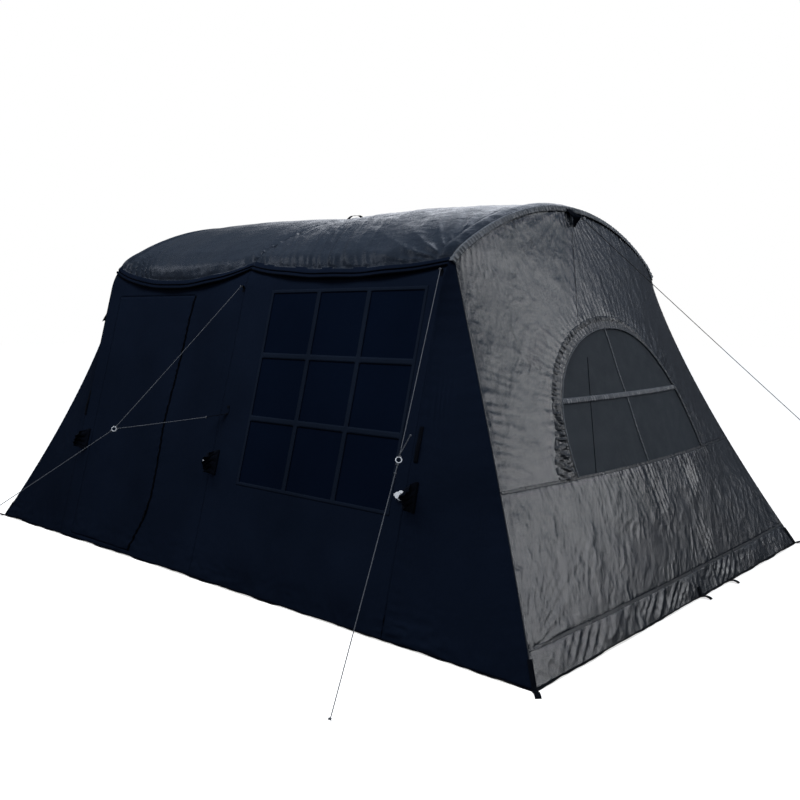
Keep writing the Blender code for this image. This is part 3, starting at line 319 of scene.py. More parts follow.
def end_x(end, y, z):
    """The end wall's outer face: fullest on the middle line, and on the corner edges at its sides."""
    edge_x = edge_of(end, z)[0]
    middle = BEAM_SPACING + END_FLARE * (1.0 - z / outline(end * BEAM_SPACING)[0])
    full = np.maximum(1.0 - (y / np.maximum(end_half(end, z), 0.001)) ** 2, 0.0)
    step = (CLOTH + GAP) * smooth(full * 8.0)
    return end * (edge_x + (middle - edge_x) * full + step)


# Materials.

SOCKETS = {
    "colour": "Base Color",
    "rough": "Roughness",
    "normal": "Normal",
    "shine": "Specular IOR Level",
    "sheen": "Sheen Weight",
    "metal": "Metallic",
    "glow_colour": "Emission Color",
    "glow": "Emission Strength",
}
WAVE = 0.31416  # a wave texture's bands are this far apart at a scale of 1, in metres
DUST = (0.09, 0.085, 0.075, 1.0)


class Nodes:
    """Adds linked nodes to a node tree."""

    def __init__(self, tree):
        self.tree = tree

    def feed(self, socket, value):
        if isinstance(value, bpy.types.NodeSocket):
            self.tree.links.new(value, socket)
        else:
            socket.default_value = value

    def node(self, kind, inputs=None, output=0, **settings):
        made = self.tree.nodes.new(kind)
        for key, value in settings.items():
            setattr(made, key, value)
        for key, value in (inputs or {}).items():
            self.feed(made.inputs[key], value)
        return made.outputs[output]

    def mix(self, share, first, second, **settings):
        inputs = {"Factor": share, 6: first, 7: second}
        return self.node("ShaderNodeMix", inputs, output=2, data_type="RGBA", **settings)

    def spread(self, value, low, high, to_low=0.0, to_high=1.0, **settings):
        return self.node("ShaderNodeMapRange", {0: value, 1: low, 2: high, 3: to_low, 4: to_high}, **settings)

    def seen_by(self, *kinds):
        """Whether a ray is of each kind."""
        outputs = self.tree.nodes.new("ShaderNodeLightPath").outputs
        return [outputs[f"Is {kind} Ray"] for kind in kinds]


class Finish(Nodes):
    """Builds one material's nodes."""

    def __init__(self, name):
        self.made = bpy.data.materials.new(name)
        self.made.use_nodes = True
        super().__init__(self.made.node_tree)
        self.shader = self.tree.nodes["Principled BSDF"]

    def cut(self):
        """Where a point is on the flat cloth."""
        return self.node("ShaderNodeAttribute", output=1, attribute_name="cut")

    def place(self):
        return self.node("ShaderNodeTexCoord", output=3)

    def math(self, operation, first, second=0.0):
        return self.node("ShaderNodeMath", {0: first, 1: second}, operation=operation)

    def times(self, first, second):
        return self.math("MULTIPLY", first, second)

    def plus(self, first, second):
        return self.math("ADD", first, second)

    def noise(self, where, scale, detail=2.0, kind="FBM", rough=0.5):
        inputs = {"Vector": where, "Scale": scale, "Detail": detail, "Roughness": rough}
        return self.node("ShaderNodeTexNoise", inputs, noise_type=kind)

    def bump(self, height, depth, before=None):
        inputs = {"Height": height, "Distance": depth, "Strength": 1.0}
        if before is not None:
            inputs["Normal"] = before
        return self.node("ShaderNodeBump", inputs)

    def set(self, **values):
        for key, value in values.items():
            self.feed(self.shader.inputs[SOCKETS[key]], value)
        return self.made


def tint(colour, factor):
    return (*[min(part * factor, 1.0) for part in colour], 1.0)


def threads(finish, where, pitch):
    """A plain weave: threads over and under each other."""
    turned = finish.node("ShaderNodeMapping", {"Vector": where, "Rotation": (0.0, 0.0, math.pi / 2)})
    lines = []
    for vector in (where, turned):
        inputs = {"Vector": vector, "Scale": WAVE / pitch, "Distortion": 0.0}
        wave = finish.node("ShaderNodeTexWave", inputs, output=1, wave_type="BANDS", bands_direction="X")
        lines.append(wave)
    return finish.times(*lines)


def cloth(name, colour, rough, shine, vary=0.3, pitch=0.0011, weave=0.00012, crinkle=0.0, size=0.05, dust=0.0,
          rough_vary=0.08, facets=()):
    """Woven cloth: threads, fine crinkles, sharp small creases and uneven colour and gloss."""
    finish = Finish(name)
    where = finish.cut()
    place = finish.place()
    clouds = finish.noise(place, 2.2, 4.0)
    flecks = finish.noise(where, 60.0, 2.0)
    share = finish.spread(finish.plus(finish.times(clouds, 0.75), finish.times(flecks, 0.25)), 0.3, 0.7)
    base = finish.mix(share, tint(colour, 1.0 - vary), tint(colour, 1.0 + vary))
    if dust:
        height = finish.node("ShaderNodeSeparateXYZ", {"Vector": place}, output=2)
        low = finish.spread(height, 0.0, 0.22, 1.0, 0.0)
        spots = finish.spread(finish.noise(place, 9.0, 5.0), 0.45, 0.75)
        base = finish.mix(finish.times(finish.times(low, spots), dust), base, DUST)
    gloss = finish.spread(finish.noise(where, 14.0, 3.0), 0.3, 0.7, rough - rough_vary, rough + rough_vary)
    normal = None
    if crinkle:
        ridges = finish.noise(where, 1.0 / size, 3.0, "RIDGED_MULTIFRACTAL", 0.55)
        normal = finish.bump(ridges, crinkle)
        wide = finish.noise(where, 0.35 / size, 2.0, "RIDGED_MULTIFRACTAL", 0.5)
        normal = finish.bump(wide, crinkle * 1.6, normal)
    if facets:
        bend = finish.node("ShaderNodeTexNoise", {"Vector": where, "Scale": 9.0, "Detail": 2.0}, 1)
        bend = finish.node("ShaderNodeVectorMath", {0: bend, 1: (0.05, 0.05, 0.0)}, operation="MULTIPLY")
        bent = finish.node("ShaderNodeVectorMath", {0: where, 1: bend}, operation="ADD")
        for facet, slope, stretch, turn in facets:
            scale = (1.0 / facet, 1.0 / facet / stretch, 1.0)
            inputs = {"Vector": bent, "Rotation": (0.0, 0.0, turn), "Scale": scale}
            inputs = {"Vector": finish.node("ShaderNodeMapping", inputs, vector_type="POINT"), "Scale": 1.0}
            cells = finish.node("ShaderNodeTexVoronoi", inputs, voronoi_dimensions="2D")
            patchy = finish.spread(finish.noise(where, 0.16 / facet, 2.0), 0.38, 0.62, 0.15, 1.0)
            normal = finish.bump(finish.times(cells, patchy), facet * slope, normal)
    normal = finish.bump(threads(finish, where, pitch), weave, normal)
    return finish.set(colour=base, rough=gloss, normal=normal, shine=shine)


def webbing(name, colour, rough=0.75):
    """Flat woven strap with a row of stitches along its edge."""
    finish = Finish(name)
    where = finish.cut()
    across = finish.node("ShaderNodeSeparateXYZ", {"Vector": where})
    along = across.node.outputs[1]
    inputs = {"Vector": where, "Scale": WAVE / 0.0022}
    ribs = finish.node("ShaderNodeTexWave", inputs, output=1, bands_direction="Y")
    fine = finish.noise(where, 300.0, 2.0)
    base = finish.mix(finish.spread(fine, 0.3, 0.7), tint(colour, 0.7), tint(colour, 1.3))
    off = finish.math("ABSOLUTE", finish.math("SUBTRACT", across, 0.003))
    row = finish.math("LESS_THAN", off, 0.0006)
    dash = finish.math("LESS_THAN", finish.math("FRACT", finish.math("DIVIDE", along, 0.0042)), 0.62)
    stitch = finish.times(row, dash)
    base = finish.mix(stitch, base, tint(colour, 3.0))
    height = finish.plus(finish.plus(ribs, finish.times(fine, 0.4)), finish.times(stitch, 2.0))
    return finish.set(colour=base, rough=rough, normal=finish.bump(height, 0.0003), shine=0.06)


def plastic(name, colour, rough, shine=0.5):
    """Moulded plastic or painted metal with fine grain and soft scuffs."""
    finish = Finish(name)
    place = finish.place()
    scuffs = finish.noise(place, 90.0, 4.0)
    base = finish.mix(finish.spread(scuffs, 0.35, 0.7), tint(colour, 1.05), tint(colour, 0.86))
    gloss = finish.spread(scuffs, 0.3, 0.7, rough - 0.07, rough + 0.1)
    normal = finish.bump(finish.noise(place, 900.0, 2.0), 0.00005)
    return finish.set(colour=base, rough=gloss, normal=normal, metal=0.0, shine=shine)


def braid(name, colour, rough):
    """Braided cord: slanting strands and short fibres."""
    finish = Finish(name)
    place = finish.place()
    turned = finish.node("ShaderNodeMapping", {"Vector": place, "Rotation": (0.6, 0.5, 0.3)})
    inputs = {"Vector": turned, "Scale": WAVE / 0.0016, "Distortion": 1.0}
    strands = finish.node("ShaderNodeTexWave", inputs, output=1)
    fibres = finish.noise(place, 700.0, 2.0)
    # The colour follows the strands' height: darker in the grooves between them as painted shade, lighter on
    # their crowns.
    base = finish.mix(finish.times(strands, 0.8), tint(colour, 0.6), tint(colour, 1.15))
    height = finish.plus(strands, finish.times(fibres, 0.4))
    return finish.set(colour=base, rough=rough, normal=finish.bump(height, 0.0004), shine=0.3, sheen=0.2)


# The front cloth is the same dark fabric as the ends. Its darker blue is partly its own colour and partly
# painted shade for the shaded front wall.
FRONT_CLOTH_WITH_PAINTED_SHADE = cloth("front_cloth", (0.0042, 0.0072, 0.0155), 0.80, 0.015, 0.18, crinkle=0.0006)
ROOF_CLOTH = cloth("roof_cloth", (0.0066, 0.0095, 0.0156), 0.26, 0.30, 0.2, crinkle=0.0004, size=0.045,
                   facets=((0.110, 0.05, 2.4, 0.3), (0.045, 0.05, 1.8, -0.5)))
END_CLOTH = cloth("end_cloth", (0.0100, 0.0128, 0.0172), 0.18, 0.45, 0.2, crinkle=0.0004, rough_vary=0.02,
                  facets=((0.080, 0.05, 2.2, 0.5), (0.040, 0.06, 1.6, -0.6), (0.020, 0.06, 1.8, 0.2)))
FRONT_FILM = cloth("front_film", (0.0018, 0.0042, 0.0115), 0.60, 0.010, 0.15, pitch=0.0016, crinkle=0.0004)
END_FILM = cloth("end_film", (0.0400, 0.0460, 0.0530), 0.60, 0.06, 0.12, pitch=0.0016, crinkle=0.0004)
FRONT_TAPE = cloth("front_tape", (0.0062, 0.0098, 0.0185), 0.75, 0.02, 0.2, crinkle=0.0004, size=0.02)
END_TAPE = cloth("end_tape", (0.0150, 0.0170, 0.0200), 0.31, 0.45, 0.2, crinkle=0.0010, size=0.02)
RUCHED_TAPE = cloth("ruched_tape", (0.085, 0.092, 0.102), 0.36, 0.5, 0.25, crinkle=0.0008, size=0.02)
DARK_TAPE_AND_PAINTED_SHADE = cloth("dark_tape_and_painted_shade", (0.0012, 0.0018, 0.0034), 0.80, 0.03, 0.3)
FLAP_CLOTH_AND_PAINTED_SHADE = cloth("flap_cloth", (0.0022, 0.0032, 0.0062), 0.65, 0.05, 0.3, crinkle=0.0006, size=0.02)
GROUND_CLOTH = cloth("ground_cloth", (0.0030, 0.0034, 0.0044), 0.60, 0.10, pitch=0.0025, weave=0.0003,
                     dust=0.15)
SLEEVE_CLOTH = cloth("sleeve_cloth", (0.020, 0.021, 0.024), 0.80, 0.2, 0.2)
BLADDER_FILM = cloth("bladder_film", (0.55, 0.56, 0.58), 0.35, 0.4, 0.05, weave=0.00002)
WEBBING = webbing("webbing", (0.0022, 0.0030, 0.0052))
VALVE_PLASTIC = plastic("valve_plastic", (0.72, 0.74, 0.77), 0.35)
ZIP_PLASTIC = plastic("zip_plastic", (0.0012, 0.0016, 0.0028), 0.55, shine=0.10)
RING_METAL = plastic("ring_metal", (0.62, 0.64, 0.67), 0.30)
ROPE_GREY = braid("rope_grey", (0.10, 0.11, 0.13), 0.75)
ROPE_BLACK = braid("rope_black", (0.008, 0.008, 0.009), 0.70)


# Meshes.


def dress(made, body="shell", nodes=(), slot=None):
    """Fixes a piece to its body and hides the solids that it stands for."""
    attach(made, body)
    if nodes:
        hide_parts(*nodes)
    return made


def repaint(node, finish):
    node.data.materials.clear()
    node.data.materials.append(finish)


def lengths(grid, axis):
    """Distances along one way of a grid of points."""
    steps = np.linalg.norm(np.diff(grid, axis=axis), axis=2)
    shape = list(grid.shape[:2])
    shape[axis] = 1
    return np.concatenate([np.zeros(shape), np.cumsum(steps, axis=axis)], axis=axis)


def normals(grid, inside):
    """The way out of a surface at each point of its grid."""
    out = np.cross(np.gradient(grid, axis=0), np.gradient(grid, axis=1))
    out /= np.maximum(np.linalg.norm(out, axis=2, keepdims=True), 1e-12)
    facing = ((grid - np.array(inside)) * out).sum()
    return out if facing > 0 else -out


def mesh_piece(name, grid, finish, keep=None, wrap=False, caps=False, inside=(0.0, 0.0, 0.9), slots=None,
               thickness=0.0, offset=-1.0, **worn):
    """A piece from a grid of points. Wrapped grids close round into tubes."""
    rows, columns = grid.shape[:2]
    index = np.arange(rows * columns).reshape(rows, columns)
    nearby = np.roll(index, -1, axis=1) if wrap else index[:, 1:]
    start = index if wrap else index[:, :-1]
    faces = np.stack([start[:-1], nearby[:-1], nearby[1:], start[1:]], axis=2)
    kept = np.ones(faces.shape[:2], bool) if keep is None else keep
    cut = np.stack([lengths(grid, 1), lengths(grid, 0), np.zeros((rows, columns))], axis=2).reshape(-1, 3)
    used, inverse = np.unique(faces[kept], return_inverse=True)
    faces = inverse.reshape(-1, 4)
    points, cut = grid.reshape(-1, 3)[used], cut[used]
    a, b, c = points[faces[:, 0]], points[faces[:, 1]], points[faces[:, 3]]
    centre = points.mean(0) if inside is None else np.array(inside)
    flip = ((a - centre) * np.cross(b - a, c - a)).sum() < 0
    listed = [tuple(face) for face in (faces[:, ::-1] if flip else faces).tolist()]
    if caps:
        first = list(range(columns))
        last = list(range(len(points) - columns, len(points)))
        listed.append(tuple(first if flip else first[::-1]))
        listed.append(tuple(last[::-1] if flip else last))
    data = bpy.data.meshes.new(name)
    data.from_pydata(points.tolist(), [], listed)
    attribute = data.attributes.new("cut", "FLOAT_VECTOR", "POINT")
    attribute.data.foreach_set("vector", cut.astype(np.float32).ravel())
    for each in finish if isinstance(finish, list) else [finish]:
        data.materials.append(each)
    if slots is not None:
        data.polygons.foreach_set("material_index", slots[kept].astype(np.int32).ravel())
    data.shade_smooth()
    made = bpy.data.objects.new(name, data)
    bpy.context.scene.collection.objects.link(made)
    if thickness:
        shell = made.modifiers.new("Thickness", "SOLIDIFY")
        shell.thickness = thickness
        shell.offset = offset
    return dress(made, **worn)


def surface_area(grid, keep=None):
    """The area of a grid's kept faces."""
    first = np.cross(grid[:-1, 1:] - grid[:-1, :-1], grid[1:, :-1] - grid[:-1, :-1])
    second = np.cross(grid[1:, :-1] - grid[1:, 1:], grid[:-1, 1:] - grid[1:, 1:])
    areas = (np.linalg.norm(first, axis=2) + np.linalg.norm(second, axis=2)) / 2
    return float(areas.sum() if keep is None else areas[keep].sum())


def reach(grid, keep, axis):
    """The longest run of the kept faces along one way of a grid."""
    run = lengths(grid, axis)
    if keep is None:
        return float(run.max())
    used = touched(keep)
    furthest = np.where(used, run, -1.0).max(axis=axis)
    nearest = np.where(used, run, np.inf).min(axis=axis)
    return float((furthest - nearest)[used.any(axis=axis)].max())


def touched(faces):
    """The points of a grid that belong to any of the marked faces."""
    points = np.zeros((faces.shape[0] + 1, faces.shape[1] + 1), bool)
    for i in (0, 1):
        for j in (0, 1):
            points[i : faces.shape[0] + i, j : faces.shape[1] + j] |= faces
    return points


def panel(name, nodes, base, lift, finish, keep=None, held="stretched", rests_on=(), inside=(0.0, 0.0, 0.9),
          thickness=0.0012, way=None, tape_width=0.0, **more):
    """A sewn panel: the base grid is its cut, and the lift is how its folds stand out of it."""
    out = normals(base, inside) if way is None else way
    grid = base + out * np.asarray(lift)[..., None]
    made = mesh_piece(name, grid, finish, keep, inside=inside, thickness=thickness, nodes=nodes, **more)
    wide, long = reach(base, keep, 1), reach(base, keep, 0)
    area = min(surface_area(base, keep), wide * long)
    if tape_width:
        wide, long = tape_width, area / tape_width
    return made


def rail(path, count):
    """A smooth line through a few points, with its points evenly spaced."""
    points = np.array(path, float)
    ends = np.vstack([2 * points[0] - points[1], points, 2 * points[-1] - points[-2]])
    fine = []
    for i in range(len(points) - 1):
        p0, p1, p2, p3 = ends[i : i + 4]
        for t in np.linspace(0, 1, 24, endpoint=i == len(points) - 2):
            fine.append(0.5 * (2 * p1 + (p2 - p0) * t + (2 * p0 - 5 * p1 + 4 * p2 - p3) * t * t
                               + (3 * p1 - p0 - 3 * p2 + p3) * t**3))
    fine = np.array(fine)
    run = np.concatenate([[0.0], np.cumsum(np.linalg.norm(np.diff(fine, axis=0), axis=1))])
    places = np.linspace(0.0, run[-1], count)
    return np.stack([np.interp(places, run, fine[:, axis]) for axis in range(3)], axis=1)


def tube_grid(path, radius, sides):
    """Rings of points round a line, turned as little as possible from one to the next."""
    path = np.asarray(path, float)
    ways = np.gradient(path, axis=0)
    ways /= np.linalg.norm(ways, axis=1, keepdims=True)
    side = np.cross(ways[0], (0.0, 0.0, 1.0))
    if np.linalg.norm(side) < 0.1:
        side = np.cross(ways[0], (1.0, 0.0, 0.0))
    rings = []
    for point, way, size in zip(path, ways, np.broadcast_to(radius, len(path))):
        side = side - way * side.dot(way)
        side /= np.linalg.norm(side)
        other = np.cross(way, side)
        angles = np.arange(sides) / sides * math.tau
        rings.append(point + size * (np.cos(angles)[:, None] * side + np.sin(angles)[:, None] * other))
    return np.array(rings)


def tube(name, path, radius, finish, sides=8, **worn):
    return mesh_piece(name, tube_grid(path, radius, sides), finish, wrap=True, caps=True, inside=None, **worn)


def strap(name, path, ways, width, finish=WEBBING, thickness=0.0018, count=24, slot="webbing", nodes=()):
    """A flat strap along a smooth line; its width lies the given ways."""
    line = rail(path, count)
    ways = np.array(ways, float)
    if ways.ndim == 1:
        ways = np.tile(ways, (len(path), 1))
    along = np.linspace(0, len(path) - 1, count)
    turned = np.stack([np.interp(along, np.arange(len(path)), ways[:, axis]) for axis in range(3)], axis=1)
    turned /= np.linalg.norm(turned, axis=1, keepdims=True)
    grid = line[:, None, :] + turned[:, None, :] * (np.linspace(-0.5, 0.5, 5) * width)[None, :, None]
    return mesh_piece(name, grid, finish, thickness=thickness, offset=0.0, nodes=nodes, slot=slot)


# Camera and ropes.


def make_camera():
    yaw, pitch, roll = (math.radians(angle) for angle in (CAMERA_YAW, CAMERA_PITCH, CAMERA_ROLL))
    forward = Vector((math.cos(pitch) * math.sin(yaw), math.cos(pitch) * math.cos(yaw), -math.sin(pitch)))
    right = Vector((math.cos(yaw), -math.sin(yaw), 0.0))
    up = right.cross(forward)
    side = right * math.cos(roll) + up * math.sin(roll)
    top = up * math.cos(roll) - right * math.sin(roll)
    turn = Matrix((side, top, -forward)).transposed().to_4x4()
    data = bpy.data.cameras.new("camera")
    data.sensor_width = SENSOR
    data.lens = LENS
    data.clip_start, data.clip_end = 0.05, 200.0
    camera = bpy.data.objects.new("camera", data)
    camera.matrix_world = Matrix.Translation(CAMERA_PLACE) @ turn
    bpy.context.scene.collection.objects.link(camera)
    bpy.context.scene.camera = camera


def rope_route(start, end, sag):
    """A smooth route between two places that hangs a little below the straight line."""
    share = np.linspace(0.0, 1.0, ROPE_POINTS)[:, None]
    route = np.array(start) * (1 - share) + np.array(end) * share
    return route - np.array([0.0, 0.0, 4.0 * sag]) * share * (1.0 - share)


def short_of(start, end, cut_back):
    """A place just short of the end, seen from the start."""
    start, end = Vector(start), Vector(end)
    return end - (end - start).normalized() * cut_back


def rope(name, route, finish, **worn):
    data = bpy.data.curves.new(name, "CURVE")
    data.dimensions = "3D"
    data.bevel_depth = ROPE / 2
    data.bevel_resolution = 3
    data.use_fill_caps = True
    spline = data.splines.new("POLY")
    spline.points.add(len(route) - 1)
    for spot, point in zip(spline.points, route):
        spot.co = (*point, 1.0)
    data.materials.append(finish)
    made = bpy.data.objects.new(name, data)
    bpy.context.scene.collection.objects.link(made)
    return dress(made, **worn)


def knot(name, middle, way, finish, size=0.006):
    """A tied knot: one strand wound through itself."""
    turns = np.linspace(0.0, math.tau, 64)
    trefoil = (
        np.sin(turns) + 2 * np.sin(2 * turns),
        np.cos(turns) - 2 * np.cos(2 * turns),
        -1.3 * np.sin(3 * turns),
    )
    points = np.stack(trefoil, axis=1) * size / 3.0
    turn = np.array(Vector(way).to_track_quat("Z", "Y").to_matrix())
    grid = tube_grid(points[:-1], ROPE * 0.45, 8)
    grid = np.concatenate([grid, grid[:1]])
    return mesh_piece(name, grid @ turn.T + np.array(middle), finish, wrap=True, inside=None)


def make_ropes():
    """Six ropes, their knots, and the two rings that join them."""
    to_ring = RING_RADIUS + RING_THICKNESS + GAP
    routes = {
        "right_upper": (RIGHT_TAB_END, short_of(RIGHT_TAB_END, RIGHT_RING, to_ring), 0.002),
        "right_lower": (short_of(RIGHT_PEG, RIGHT_RING, to_ring), RIGHT_PEG, 0.004),
        "middle_upper": (MIDDLE_TAB_END, short_of(MIDDLE_TAB_END, MIDDLE_RING, to_ring), 0.003),
        "middle_lower": (MIDDLE_LOW_TAB_END, short_of(MIDDLE_LOW_TAB_END, MIDDLE_RING, to_ring), 0.001),
        "middle_main": (short_of(MIDDLE_PEG, MIDDLE_RING, to_ring), MIDDLE_PEG, 0.004),
        "end": (END_ROPE_START, END_PEG, 0.012),
    }
    rings = {side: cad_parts[f"guy_ring_{side}"] for side in ("right", "middle")}
    for ring in rings.values():
        repaint(ring, RING_METAL)
    for name, (start, end, sag) in routes.items():
        route = rope_route(start, end, sag)
        finish, slot = (ROPE_BLACK, "black_rope") if name == "end" else (ROPE_GREY, "rope")
        made = rope(f"rope_{name}", route, finish, nodes=[f"guy_rope_{name}"], slot=slot)
        way = Vector(route[-1] - route[0]).normalized()
        along = np.array(way)
        with_pieces = [knot(f"knot_{name}_start", route[0] + along * 0.006, way, finish)]
        to_fitting = "upper" in name or name == "middle_lower"
        if to_fitting:
            with_pieces.append(knot(f"knot_{name}_end", route[-1] - along * 0.004, way, finish, 0.004))
            if "upper" in name:
                with_pieces.append(rings["right" if "right" in name else "middle"])
        else:
            with_pieces.append(knot(f"knot_{name}_peg", route[-1] + np.array((0.0, 0.0, 0.004)), way, finish))
        if name == "right_upper":
            steps = ((0.0, 0.0, 0.008), (0.011, 0.008, 0.030), (0.024, 0.019, 0.062), (0.036, 0.030, 0.092))
            tail = rail([route[-1] + step for step in steps], 20)
            with_pieces.append(tube("rope_tail", tail, ROPE / 2, finish))
            with_pieces.append(knot("knot_tail", tail[-1], (0.3, 0.0, 1.0), finish, 0.004))
        if name == "right_lower":
            with_pieces.append(knot("knot_adjust", route[0] + along * 0.05, way, finish, 0.0045))


# Roof.


def valance_height(x):
    """The height of the plain band under the roof's gathered edge, which is a little uneven."""
    return VALANCE + 0.006 * gradient_noise(x * 7.0, 0.5, 21)


def eave_run(x):
    """How far the roof cloth's lower edge is from the crown."""
    full = np.sin(math.pi * np.clip(np.abs(x) / BEAM_SPACING, 0.0, 1.0))
    droop = np.where(x < 0, LEFT_EAVE_DROOP, RIGHT_EAVE_DROOP)
    return run_to(x, bend_height(x, EAVE_AT) - EAVE_HEM - droop * full**0.7)


def roof_lift(x, run):
    """How far the roof cloth stands out: puffed bays, gathers at the seams and creases."""
    share = np.clip(np.abs(x) / BEAM_SPACING, 0.0, 1.0)
    full = np.sin(math.pi * share)
    beam = np.minimum(share, 1.0 - share) * BEAM_SPACING
    from_end = (1.0 - share) * BEAM_SPACING
    edge = eave_run(x)
    up = edge - np.abs(run)
    band = valance_height(x)
    above = np.maximum(up - band, 0.0)
    on_roof = smooth(above / 0.012)
    near = smooth(above / 0.30)
    loose = np.minimum(beam / 0.04, 1.0)
    lift = ROOF_LIFT + ROOF_PUFF * full**0.6 * near + EAVE_STAND * full**0.5 * (1.0 - near)
    lift += 0.011 * full**0.4 * hill(up - 0.125, 0.055)
    lift += 0.005 * loose * gradient_noise(x * 8.0, run * 2.0, 22) * hill(up - 0.10, 0.05)
    lift -= 0.007 * full**0.4 * hill(up - band, 0.008)
    lift += PLEAT_DEPTH * full**0.5 * np.cos(math.tau * ROOF_PLEATS * share) * (1.0 - up / edge) * 0.5
    # Gathers that run up from the eave.
    slid = x + 0.6 * above
    patch = patches(0.55, 1.1, x * 2.2, run * 1.5, 13, 0.05, 1.4) * np.where(x < 0, 0.35, 1.0)
    lift += loose * on_roof * patch * 0.0040 * fade(above, 0.050) * pleats(slid, 0.042, 11, run, 0.35)
    lift += loose * on_roof * patch * 0.0070 * fade(above, 0.16) * pleats(slid, 0.105, 12, run, 0.8)
    far = hill(x + 1.20, 0.15) * fade(above, 0.22)
    lift += 0.020 * far * on_roof * pleats(x + 0.75 * above, 0.085, 14, run, 1.2)
    tall = hill(slid - 0.66, 0.20) * fade(above, 0.45)
    lift += 0.012 * tall * on_roof * pleats(slid, 0.105, 23, run, 0.9)
    soft = np.where(x < 0, 0.0, 0.0035) * full**0.5 * on_roof * fade(above, 0.6)
    lift += soft * pleats(slid, 0.070, 27, run, 0.6)
    # Crumpled cloth beside the middle beam.
    crumple = fade(np.abs(x), np.where(x < 0, 0.10, 0.16)) * smooth(np.abs(x) / 0.012) * fade(above, 0.55)
    wrinkle = 0.011 * pleats(x + 0.7 * above, 0.060, 15, run, 0.16)
    wrinkle += 0.006 * creases(x + 0.5 * above, run, 0.06, 24, 1.2)
    lift += crumple * on_roof * wrinkle * patches(0.6, 1.2, x * 9.0, run * 7.0, 28, 0.1, 1.5)
    # Folds that fan out from the outer corners, and the hump along the outer seams.
    reach_out = np.hypot(from_end, above + 0.02)
    fan = np.arctan2(above + 0.02, from_end)
    folds = fade(reach_out, 0.30) * smooth((from_end - 0.085) / 0.03)
    lift += 0.012 * folds * on_roof * pleats(fan, 0.20, 25, reach_out) * np.where(x < 0, 0.4, 1.0)
    lift += on_roof * (0.010 * hill(from_end - 0.045, 0.030) - 0.006 * hill(from_end - 0.092, 0.010))
    calm = np.where(x < 0, 0.10, 0.45) * on_roof * np.minimum(beam / 0.02, 1.0)
    net = 0.0040 * creases(x, run, 0.22, 16, 2.2, 0.9) + 0.0022 * creases(x, run, 0.10, 17, 2.4, 1.3)
    lift += calm * net
    lift += 0.005 * gradient_noise(x * 1.9, run * 1.6, 19) * full * near
    return lift


def roof_place(x, run, extra):
    base, way = skin(x, run)
    return base + way * (roof_lift(x, run) + extra)[..., None]


def roof_columns(end):
    """Places along a bay, closer together near its two beams."""
    near = np.array([0.0, 0.003, 0.008, 0.014, 0.021, 0.029])
    inner = np.linspace(0.038, BEAM_SPACING - 0.038, 150)
    return end * np.concatenate([near, inner, BEAM_SPACING - near[::-1]])


def make_roof():
    low = np.concatenate([np.linspace(0.0, 0.05, 8), np.linspace(0.0555, 0.33, 34)])
    share = np.linspace(-1.0, 1.0, 190)[1:-1]
    for side, end in ENDS:
        columns = roof_columns(end)
        edges = eave_run(columns)[:, None]
        run = np.concatenate([low - edges, (edges - 0.338) * share, (edges - low)[:, ::-1]], axis=1)
        x = np.repeat(columns[:, None], run.shape[1], axis=1)
        base, way = skin(x, run)
        up = edges - np.abs(run)
        # The band under the gathered edge gets the front's darker cloth: painted shade on what is the roof's
        # own cloth.
        valance_in_painted_shade = (up[:-1, :-1] + up[1:, 1:]) / 2 < valance_height(x[:-1, :-1])
        panel(
            f"roof_{side}",
            [f"roof_bay_{side}"],
            base,
            roof_lift(x, run),
            [ROOF_CLOTH, FRONT_CLOTH_WITH_PAINTED_SHADE],
            slots=valance_in_painted_shade,
            way=way,
            rests_on=[f"binding_{side}"],
            slot="roof_cloth",
        )
    columns = np.concatenate([roof_columns(-1)[:0:-1], roof_columns(1)])
    for side_name, side in SIDES:
        for up, size, label in ((0.004, 0.0045, ""), (0.027, 0.0035, "_upper")):
            nodes = [] if label else [f"eave_piping_{side_name}"]
            line = roof_place(columns, side * (eave_run(columns) - up), size * 0.8)
            line[:, 0] *= (BEAM_SPACING - 0.001) / BEAM_SPACING
            tube(f"piping_{side_name}{label}", line, size, DARK_TAPE_AND_PAINTED_SHADE, nodes=nodes, slot="piping")


def make_bindings():
    """The gathered tape along both ends of the roof, and the seam over the middle beam."""
    run = np.linspace(-1.0, 1.0, 420) * float(bend_run(0.0, BINDING_AT))
    base, way = skin(0.0, run)
    gather = pleats(run, 0.028, 61, 3.0)
    line = base + way * (ROOF_LIFT + 0.0005 + 0.0006 * gather)[:, None]
    tube("binding_middle", line, 0.0030 + 0.0006 * gather, ROOF_CLOTH, 10, nodes=["roof_binding_middle"],
         slot="tape")
    across = np.linspace(0.0, 1.0, 9)
    over = np.interp(across, (0.0, 0.35, 1.0), (-0.012, 0.0035, 0.0035))
    down = np.interp(across, (0.0, 0.35, 1.0), (0.0055, 0.0040, -0.026))
    puff = np.sin(math.pi * np.clip((across - 0.3) / 0.7, 0.0, 1.0)) ** 0.7
    for side, end in ENDS:
        place = end * BEAM_SPACING
        limit = float(bend_run(place, BINDING_AT))
        run = np.linspace(-limit, limit, 900)
        base, way = skin(place, run)
        ripple = 0.0044 * pleats(run, 0.025, 62) + 0.0014 * pleats(run, 0.047, 63)
        stand = ripple[:, None] * puff + 0.0040 * puff
        grid = base[:, None] + way[:, None] * (down + 0.25 * stand)[..., None]
        grid[..., 0] += end * (over + 0.004 + stand)
        height = np.minimum(grid[..., 2], base[:, None, 2] - 0.001)
        grid[..., 0] += end * (np.abs(end_x(end, grid[..., 1], height)) - BEAM_SPACING) * (across > 0.3)
        mesh_piece(f"binding_{side}", grid, RUCHED_TAPE, thickness=0.0012, nodes=[f"roof_binding_{side}"],
                   slot="tape")


# Long walls and corner panels.


def zip_x(z):
    """Where the zip's line is at a height, with its waves."""
    heights, places = zip(*ZIP_LINE)
    z = np.asarray(z, float)
    soft = sum(np.interp(z + shift, heights, places) for shift in (-0.05, -0.025, 0.0, 0.025, 0.05)) / 5
    return soft + 0.0035 * gradient_noise(z * 9.0, 0.5, 71)


